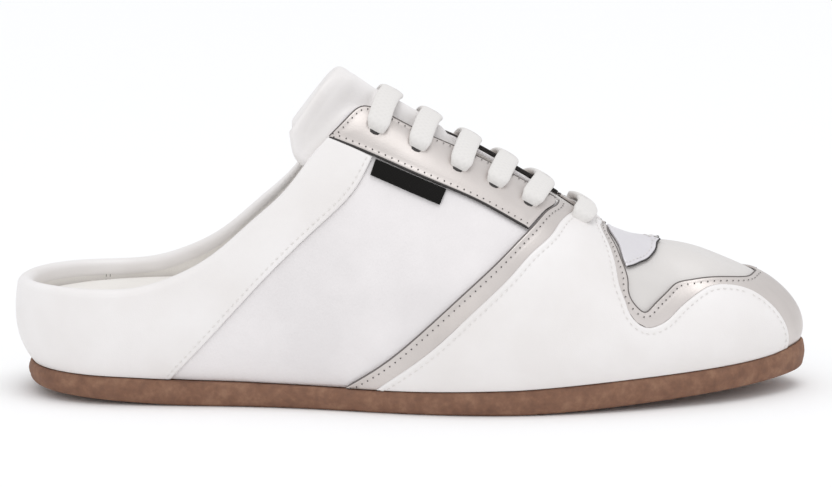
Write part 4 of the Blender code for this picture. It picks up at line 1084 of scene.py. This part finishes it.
def makeToeTrim():
    # ribbon between the inner edge, then the sole's edge, and the outer edge, mirrored about the toe tip
    pairs = np.array(toeTrim["pairs"])
    innerShares = np.append(cornerShares(trimInner, pairs[:, 0]), 2.0)
    outerShares = np.append(cornerShares(trimOuter, pairs[:, 1]), 1.0)
    places = np.concatenate([[0.0], np.cumsum(np.diff(outerShares) + 0.3 * np.diff(innerShares))])
    read = np.linspace(0, places[-1], int(lineLength(trimOuter) / toeTrim["step"]))
    innerRead, outerRead = np.interp(read, places, innerShares), np.interp(read, places, outerShares)
    onFoot = np.clip(innerRead - 1, 0, 1)[:, None]
    inner = readLine(trimInner, np.minimum(innerRead, 1)) * (1 - onFoot) + np.array([[1.0, 0.0]]) * onFoot
    outer = readLine(trimOuter, outerRead)
    inner = np.concatenate([inner, (inner[::-1] * (-1, 1) + (2, 0))[1:]])
    outer = np.concatenate([outer, (outer[::-1] * (-1, 1) + (2, 0))[1:]])
    v = crowdedShares(0.020, 0.0011)[None, :, None]
    grid = inner[:, None] * (1 - v) + outer[:, None] * v
    makeOverlay("toeTrimSilver", [grid], [trimOuter, mirrorLine(trimOuter)], cuts["silver"],
                [finish["silver"], finish["silver"]],
                "trim_toe")


makeToeTrim()


def makeThroatTab():
    # one patch over the ridge: outer half, ridge, inner half
    u = crowdedShares(lineLength(tabFront), 0.0008)
    rear, front = readLine(tabRear, u), readLine(tabFront, u)
    v = crowdedShares(0.022, 0.0009)[None, :, None]
    half = rear[:, None] * (1 - v) + front[:, None] * v
    half[..., 1] = np.minimum(half[..., 1], 1.0)
    other = half[::-1].copy()
    other[..., 0] = 2 - other[..., 0]
    grid = np.concatenate([half, other[1:]])
    makeOverlay("throatTabPale", [grid], [tabRear, tabFront, mirrorLine(tabRear), mirrorLine(tabFront)],
                dict(cuts["silver"], low=-0.0008), [finish["tab"], finish["tab"]], "throat_tab")


makeThroatTab()


def makeSideTab():
    lower, right = (sideTabCorners[3], sideTabCorners[2]), (sideTabCorners[2], sideTabCorners[1])
    upper, left = (sideTabCorners[0], sideTabCorners[1]), (sideTabCorners[3], sideTabCorners[0])
    grid = patchGrid(lower, right, upper, left, 0.0008)
    makeOverlay("sideTabRibbon", [grid], [lower, right, upper, left], cuts["ribbon"],
                [finish["ribbon"], finish["ribbon"]], "side_tab")


makeSideTab()
print("toe trim and tabs made")

# Heel leather, rolled over the collar

heel = {
    "cornerAlong": 0.4207,
    "cornerFade": 0.012,
    "besideSeam": 0.250,         # place on the collar that faces the seam's foot
    "footLength": 0.110,
    "width": 0.030,
    "cover": 0.0003,             # the leather over the lining
    "lap": ((0.004, 0.0003), (0.012, 0.0002), (0.022, -0.0004)),
    "step": 0.0011,
    "rollTurns": (20, 40, 60, 80, 100, 120, 140, 160),
}


def makeHeelLeather():
    # a strip round the heel: its outer edge follows the sole and both seams, its inner edge the collar;
    # along the collar it goes on over the rim as a half circle and ends inside the lining
    collarAlong = np.linspace(0, heel["cornerAlong"], 200)
    collar = np.stack([collarAlong, collarUp(collarAlong)], -1)
    turning = int(np.argmin(np.abs(collarAlong - heel["besideSeam"])))
    t = np.linspace(0, 1, int(lineLength(heelSeam) / heel["step"]))
    footRun = np.linspace(0, 1, int(heel["footLength"] / heel["step"]))[:-1]
    foot = np.stack([footRun * heelSeam[0][0], 0 * footRun], -1)
    outer = np.concatenate([foot, readLine(heelSeam, t)])
    top = np.concatenate([readLine(collar[:turning + 1], footRun), readLine(collar[turning:], t)])
    outer = np.concatenate([outer[:0:-1] * (-1, 1), outer])
    top = np.concatenate([top[:0:-1] * (-1, 1), top])
    v = crowdedShares(heel["width"], heel["step"])[None, :, None]
    grid = outer[:, None] * (1 - v) + top[:, None] * v
    reach = top[:, 0]
    onRim = smoothStep((heel["cornerAlong"] - np.abs(reach)) / heel["cornerFade"])[:, None]
    along, up = grid[..., 0], np.clip(grid[..., 1], 0, 1)
    seamEdge = readLine(heelSeam, np.linspace(0, 1, 500))
    cut = cuts["heel"]
    line = np.concatenate([skin(seamEdge[:, 0], seamEdge[:, 1]), skin(-seamEdge[:, 0], seamEdge[:, 1])])
    base = skin(along, up, cut["high"])
    face = base + surfaceNormal(along, up) * edgeProfile(nearest(base, line), cut)[..., None]
    back = skin(along, up, cut["low"])
    rim = top[:, 1]
    inside = wallInside(reach, rim) - heel["cover"]
    centre = skin(reach, rim, inside / 2)
    rise = unit(centre - skin(reach, rim - 0.003, inside / 2))
    normal = surfaceNormal(reach, rim)
    outside, within = [face], [back]
    for turn in np.radians(heel["rollTurns"]):
        arc = normal * np.cos(turn) + rise * np.sin(turn)
        down = skin(reach, rim, cut["low"] * turn / np.pi)
        for rows, thinner, shift in ((outside, 0.0, 0.0), (within, 0.0009, 0.0005)):
            rolled = centre + (-inside[:, None] / 2 - thinner) * arc
            rows.append((rolled * onRim + (down - normal * shift) * (1 - onRim))[:, None])
    for drop, cover in heel["lap"]:
        level = rim - drop * onRim[:, 0]
        lap = skin(reach, level, wallInside(reach, level) - cover)
        flat = skin(reach, rim, cut["low"])
        outside.append((lap * onRim + flat * (1 - onRim))[:, None])
        lap = skin(reach, level, wallInside(reach, level) + 0.0008)
        within.append((lap * onRim + (flat - normal * 0.0005) * (1 - onRim))[:, None])
    outside, within = np.concatenate(outside, 1), np.concatenate(within, 1)
    rows, columns = outside.shape[:2]
    size = rows * columns
    number = np.arange(size).reshape(rows, columns)
    border = np.concatenate([number[:, 0], number[-1, 1:], number[-2::-1, -1], number[0, -2::-1]])
    faces = np.concatenate([gridFaces(rows, columns), gridFaces(rows, columns, size)[:, ::-1],
                            wallFaces(border, border + size)])
    points = np.concatenate([outside.reshape(-1, 3), within.reshape(-1, 3)])
    piece = addPiece("heelLeather", points, faces, [finish["white"]], merge=1e-5)
    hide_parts("heel_panel")


makeHeelLeather()
print("heel leather made")

# Tongue, padded

tongue = {
    "thickness": 0.0062,
    "edgeRound": 0.0024,
    "edgeLeast": 0.35,           # thickness left at the very edge
    "gap": 0.0019,
    "backMiddle": 0.411,
    "backSide": 0.384,
    "fairing": 0.012,
    "front": 0.712,
    "endRise": 0.0014,
    "endFade": 0.15,
    "riseMargin": 0.065,
    "riseReach": 0.110,
    "backReach": 0.120,
    "backFade": 0.070,
    "rowCrowding": 1.35,
    "rows": 160,
    "sections": 110,
    "seam": 0.0048,              # stitched seam inside the edge
    "seamDepth": 0.00012,
}
tongueTable = np.array((
    (0.000, 0.570), (0.010, 0.525), (0.025, 0.498), (0.060, 0.478), (0.160, 0.472), (0.400, 0.495), (0.750, 0.590),
    (1.000, 0.720),
))


def makeTongue():
    # two faces about a middle sheet, closing as a quarter circle at the edge all round
    share = np.linspace(0, 1, tongue["rows"]) ** tongue["rowCrowding"]
    across = np.sin(np.linspace(-1, 1, tongue["sections"]) * np.pi / 2)
    edge = naturalSpline(tongueTable[:, 0], tongueTable[:, 1], share)
    rows, sides = np.meshgrid(share, across, indexing="ij")
    apart = np.abs(sides)
    back = tongue["backMiddle"] + (tongue["backSide"] - tongue["backMiddle"]) * apart ** 2
    back = back + tongue["fairing"] * apart * (1 - apart)
    along = back + (tongue["front"] - back) * rows
    fall = (1 - edge[:, None]) * sides
    up = 1 - np.abs(fall)
    hidden = -setBack - lastSize["wall"] - tongue["gap"]
    crown = tongue["endRise"] * (1 - smoothStep(rows / tongue["endFade"]))
    clear = np.minimum(fall + 1 - collarUp(along), 1 - collarUp(2 - along) - fall) - tongue["riseMargin"]
    softer = 1 - smoothStep((along - tongue["backMiddle"]) / tongue["backFade"])
    climb = smoothStep(clear / (tongue["riseReach"] + tongue["backReach"] * softer))
    outside = hidden + (crown - hidden) * climb
    around = np.where(sides > 0, 2 - along, along)
    middle = lastSurface(around, up) + surfaceNormal(around, up) * (outside - tongue["thickness"] / 2)[..., None]
    border = np.concatenate([middle[:, 0], middle[-1], middle[::-1, -1], middle[0, ::-1]])
    dense = np.concatenate([border[:-1] * (1 - t) + border[1:] * t for t in (0.0, 0.33, 0.67)])
    distance = nearest(middle, dense)
    closing = np.sqrt(np.clip(1 - np.clip(1 - distance / tongue["edgeRound"], 0, 1) ** 2, 0, 1))
    closing = tongue["edgeLeast"] + (1 - tongue["edgeLeast"]) * closing
    seam = tongue["seamDepth"] * bell((distance - tongue["seam"]) / 0.0009)
    half = tongue["thickness"] / 2 * closing
    normal = surfaceNormal(around, up)
    outer = middle + normal * (half - seam)[..., None]
    inner = middle - normal * (half - seam)[..., None]
    count = outer.shape[0] * outer.shape[1]
    number = np.arange(count).reshape(outer.shape[:2])
    border = np.concatenate([number[:, 0], number[-1, 1:], number[-2::-1, -1], number[0, -2::-1]])
    faces = np.concatenate([gridFaces(*outer.shape[:2]), gridFaces(*outer.shape[:2], count)[:, ::-1],
                            wallFaces(border, border + count)])
    piece = addPiece("tonguePad", np.concatenate([outer.reshape(-1, 3), inner.reshape(-1, 3)]), faces,
                     [finish["white"]])
    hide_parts("tongue")


makeTongue()
print("tongue made")

# Laces

lace = {
    "width": 0.0076,
    "thickness": 0.0024,
    "lift": 0.00045,
    "steps": 110,
    "sides": 32,
    "dive": 0.0040,              # how far each end goes down its hole
    "tip": 0.0042,               # length of the rounded tip
    "tipWidth": 0.55,
    # radius and shift of the dark disc of painted hole shade at each lace end
    "holeRadius": 0.0019,
    "holeShift": (-0.0003, -0.0007),
}
# end along, middle along, end up
laceTable = (
    (0.463, 0.472, 0.680),
    (0.500, 0.513, 0.692),
    (0.537, 0.554, 0.692),
    (0.570, 0.594, 0.700),
    (0.602, 0.637, 0.692),
    (0.657, 0.693, 0.762),
)


def makeLaceBar(number, endAlong, middleAlong, endUp):
    # flat oval profile carried over the throat, pinched and turned down into a hole at each end
    raised = 0.0007 if number == 6 else 0.0
    share = np.sin(np.linspace(-1, 1, lace["steps"]) * np.pi / 2 * 0.96) / np.sin(np.pi / 2 * 0.96)
    reach = np.abs(share)
    up = 1 - (1 - endUp) * reach
    along = middleAlong + (endAlong - middleAlong) * reach
    around = np.where(share > 0, 2 - along, along)
    toEnd = (1 - reach) * (1 - endUp) * lastSize["instepHeight"]
    down = np.sqrt(np.clip(1 - (1 - np.clip(toEnd / 0.0030, 0, 1)) ** 2, 0, 1))
    offset = raised + lace["lift"] + lace["thickness"] / 2 - (1 - down) * lace["dive"]
    path = lastSurface(around, up) + surfaceNormal(around, up) * offset[:, None]
    small = 1e-3
    sideways = unit(lastSurface(around + small, up) - lastSurface(around - small, up))
    tangent = unit(np.gradient(path, axis=0))
    sideways = unit(sideways - tangent * (sideways * tangent).sum(-1, keepdims=True))
    over = unit(np.cross(sideways, tangent))
    over = over * np.sign((over * surfaceNormal(around, up)).sum(-1, keepdims=True) + 1e-9)
    tip = np.sqrt(1 - (1 - np.clip(toEnd / lace["tip"], 0, 1)) ** 2)
    pinch = lace["tipWidth"] + (1 - lace["tipWidth"]) * tip
    turn = np.linspace(0, 2 * np.pi, lace["sides"], endpoint=False)
    flatX = np.sign(np.cos(turn)) * np.abs(np.cos(turn)) ** 0.75
    flatY = np.sign(np.sin(turn)) * np.abs(np.sin(turn)) ** 0.80
    folds = 1 + 0.06 * np.cos(5 * turn)[None] * (1 - smoothStep(toEnd / 0.0060))[:, None]
    points = (path[:, None] + sideways[:, None] * (flatX * lace["width"] / 2)[None, :, None] * pinch[:, None, None]
              + over[:, None] * (flatY[None] * folds * lace["thickness"] / 2)[..., None])
    count, sides = points.shape[:2]
    lengthwise = np.concatenate([[0], np.cumsum(np.linalg.norm(np.diff(path, axis=0), axis=1))])
    place = np.stack(np.meshgrid(lengthwise, np.sin(turn / 2) * lace["width"], indexing="ij"), -1)
    faces = gridFaces(count, sides, wrap=True)
    fan = np.arange(1, sides // 2)
    caps = np.concatenate([np.stack([fan - 1, fan, sides - 1 - fan, (sides - fan) % sides], -1),
                           np.stack([fan - 1, fan, sides - 1 - fan, (sides - fan) % sides], -1)[:, ::-1]
                           + (count - 1) * sides])
    piece = addPiece(f"laceBar{number}", points, np.concatenate([faces, caps]), [finish["lace"]], uv=place)
    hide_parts(f"lace_bar_{number}")


for number, row in enumerate(laceTable, start=1):
    makeLaceBar(number, *row)


def makeLaceHoleShade():
    # painted shade of each lace hole: a flat dark disc laid on the stay just below the lace's tip, showing as a dark
    # crescent where the hole's shadow falls
    ends = np.array(laceTable[:-1])
    shiftAlong, shiftUp = lace["holeShift"]
    along = ends[:, 0] + shiftAlong / (lastSize["length"] * 1.5)
    up = ends[:, 2] + shiftUp / lastSize["instepHeight"]
    along, up = np.concatenate([along, 2 - along]), np.concatenate([up, up])
    places = skin(along, up, 0.00005)
    runs = unit(skin(along + 1e-3, up) - skin(along - 1e-3, up))
    shadeDisc = smallShape(3, 20, lace["holeRadius"], lace["holeRadius"] * 0.8, 0.08)
    scatterShapes("laceHoleShade", shadeDisc, places, runs, surfaceNormal(along, up), [finish["blackEdgeAndHoleShade"]], "silver_leather")


makeLaceHoleShade()
print("lace bars made")

# Stitches, painted needle-hole shade, painted edges and a painted gap shadow

stitching = {
    "spacing": 0.0023,
    "length": 0.0013,
    "radius": 0.00014,
    "holeRadius": 0.00024,
}


def stitchPlaces(corners, inset, offset, spacing, trim=0.0008):
    # even places along a line set in from an overlay's edge, with run and normal at each
    line = readLine(corners, np.linspace(0, 1, 400))
    line[:, 1] = np.clip(line[:, 1], 0, 0.999)
    moved = insetLine(line, inset, offset)
    moved[:, 1] = np.clip(moved[:, 1], 0, 0.999)
    path = skin(moved[:, 0], moved[:, 1], offset)
    length = np.concatenate([[0], np.cumsum(np.linalg.norm(np.diff(path, axis=0), axis=1))])
    read = np.arange(trim, length[-1] - trim, spacing)
    place = np.stack([np.interp(read, length, path[:, k]) for k in range(3)], -1)
    ahead = np.stack([np.interp(read + 2e-4, length, path[:, k]) for k in range(3)], -1)
    along, up = np.interp(read, length, moved[:, 0]), np.interp(read, length, moved[:, 1])
    return place, unit(ahead - place), surfaceNormal(along, up)


def joinPlaces(rows):
    return [np.concatenate([row[k] for row in rows]) for k in range(3)]


# edge, inset to the left of its run, offset of the face there
darkRows = [(stayLower, 0.0013, 0.0), (stayRear, -0.0013, 0.0), (trimOuter[:-1], -0.0016, 0.0)]
darkRows += [(mirrorLine(line), -inset, offset) for line, inset, offset in darkRows]
darkRows += [(stayUpperOuter, -0.0013, 0.0), (mirrorLine(stayUpperInner), 0.0013, 0.0),
             (stripRearOuter, -0.0017, 0.0), (mirrorLine(stripRearInner), 0.0017, 0.0)]
whiteRows = [(heelSeam, 0.0016, 0.0), (stripFrontOuter, -0.0021, 0.0006), (guardRise, 0.0021, 0.0006),
             (guardToe, -0.0021, 0.0006), (guardEnd, 0.0021, 0.0006), (tabFront, 0.0014, 0.0)]
whiteRows += [(mirrorLine(line), -inset, offset) for line, inset, offset in whiteRows]


def makeStitches():
    holes = [stitchPlaces(*row, stitching["spacing"]) for row in darkRows]
    threads = [stitchPlaces(*row, stitching["spacing"]) for row in whiteRows]
    # the dark dots along the silver overlays' stitch rows are painted shade of the needle holes
    dot = smallShape(3, 8, stitching["holeRadius"], stitching["holeRadius"], 0.35)
    scatterShapes("needleHoles", dot, *joinPlaces(holes), [finish["holeShadeDots"]], "silver_leather")
    capsule = smallShape(4, 6, stitching["length"] / 2, stitching["radius"], 0.8)
    scatterShapes("whiteStitches", capsule, *joinPlaces(threads), [finish["whiteThread"]], "white_leather")


makeStitches()

liningSeam = {
    "along": 1.816,              # on the inner side, behind the ankle
    "apart": 0.0060,
    "low": 0.100,
}


def makeLiningSeam():
    # two short rows of thread down the inside of the collar
    rows = []
    for along in (liningSeam["along"], liningSeam["along"] - liningSeam["apart"]):
        up = np.linspace(float(collarUp(along)) - 0.004, liningSeam["low"], 5)
        level = np.full(len(up), along)
        place = skin(level, up, wallInside(level, up) - 0.0001)
        rows.append((place, unit(np.gradient(place, axis=0)), surfaceNormal(level, up)))
    capsule = smallShape(4, 6, stitching["length"] / 2, stitching["radius"], 0.8)
    scatterShapes("liningStitches", capsule, *joinPlaces(rows), [finish["liningThread"]], "lining")


makeLiningSeam()


def makeBeads(name, rows, material):
    # thin painted edge, or thin painted shadow line, laid along an overlay's cut: a round profile carried along the
    # line
    allPoints, allFaces, start = [], [], 0
    for corners, inset, offset, radius in rows:
        line = readLine(corners, np.linspace(0, 1, 160))
        line[:, 1] = np.clip(line[:, 1], 0, 0.999)
        moved = insetLine(line, inset, offset)
        moved[:, 1] = np.clip(moved[:, 1], 0, 0.9995)
        path = skin(moved[:, 0], moved[:, 1], offset)
        normals = surfaceNormal(moved[:, 0], moved[:, 1])
        taper = np.clip(np.minimum(np.arange(160), np.arange(160)[::-1]) / 3.0 + 0.2, 0, 1)
        points, quads, tris = tubeAlong(path, normals, radius * taper)
        allPoints.append(points)
        allFaces += (quads + start).tolist() + (tris + start).tolist()
        start += len(points)
    mesh = bpy.data.meshes.new(name)
    mesh.from_pydata(np.concatenate(allPoints).tolist(), [], allFaces)
    work = bmesh.new()
    work.from_mesh(mesh)
    bmesh.ops.recalc_face_normals(work, faces=work.faces)
    work.to_mesh(mesh)
    work.free()
    mesh.shade_smooth()
    mesh.materials.append(material)
    piece = bpy.data.objects.new(name, mesh)
    bpy.context.scene.collection.objects.link(piece)
    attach(piece, "root")


def withMirrors(rows):
    return rows + [(mirrorLine(line), -inset, offset, radius) for line, inset, offset, radius in rows]


blackEdges = withMirrors([(stayLower, -0.0002, -0.00040, 0.00042), (tabFront, -0.0002, -0.0004, 0.00028)])
blackEdges += [(mirrorLine(((0.548, 0.900),) + stayUpperInner[3:]), 0.0001, -0.0001, 0.00032)]
greyEdgesAndGapShade = withMirrors([(stayRear, 0.0001, -0.0003, 0.00020)])
# the grey bead along the outer stay's upper edge is painted shadow of the gap between that edge and the tongue; the
# other grey beads are edge paint
greyEdgesAndGapShade += [(trimOuter[:-1], 0.0001, -0.0003, 0.00024), (mirrorLine(trimOuter[:-4]), -0.0001, -0.0003, 0.00024),
              (stripRearOuter, 0.0001, -0.0003, 0.00026), (mirrorLine(stripRearInner), -0.0001, -0.0003, 0.00026),
              (stayUpperOuter, 0.0001, -0.0003, 0.00030)]
makeBeads("rawEdgesBlack", blackEdges, finish["blackEdgeAndHoleShade"])
makeBeads("cutEdgesGreyAndGapShade", greyEdgesAndGapShade, finish["greyEdgeAndGapShade"])
print("stitches and edges made")
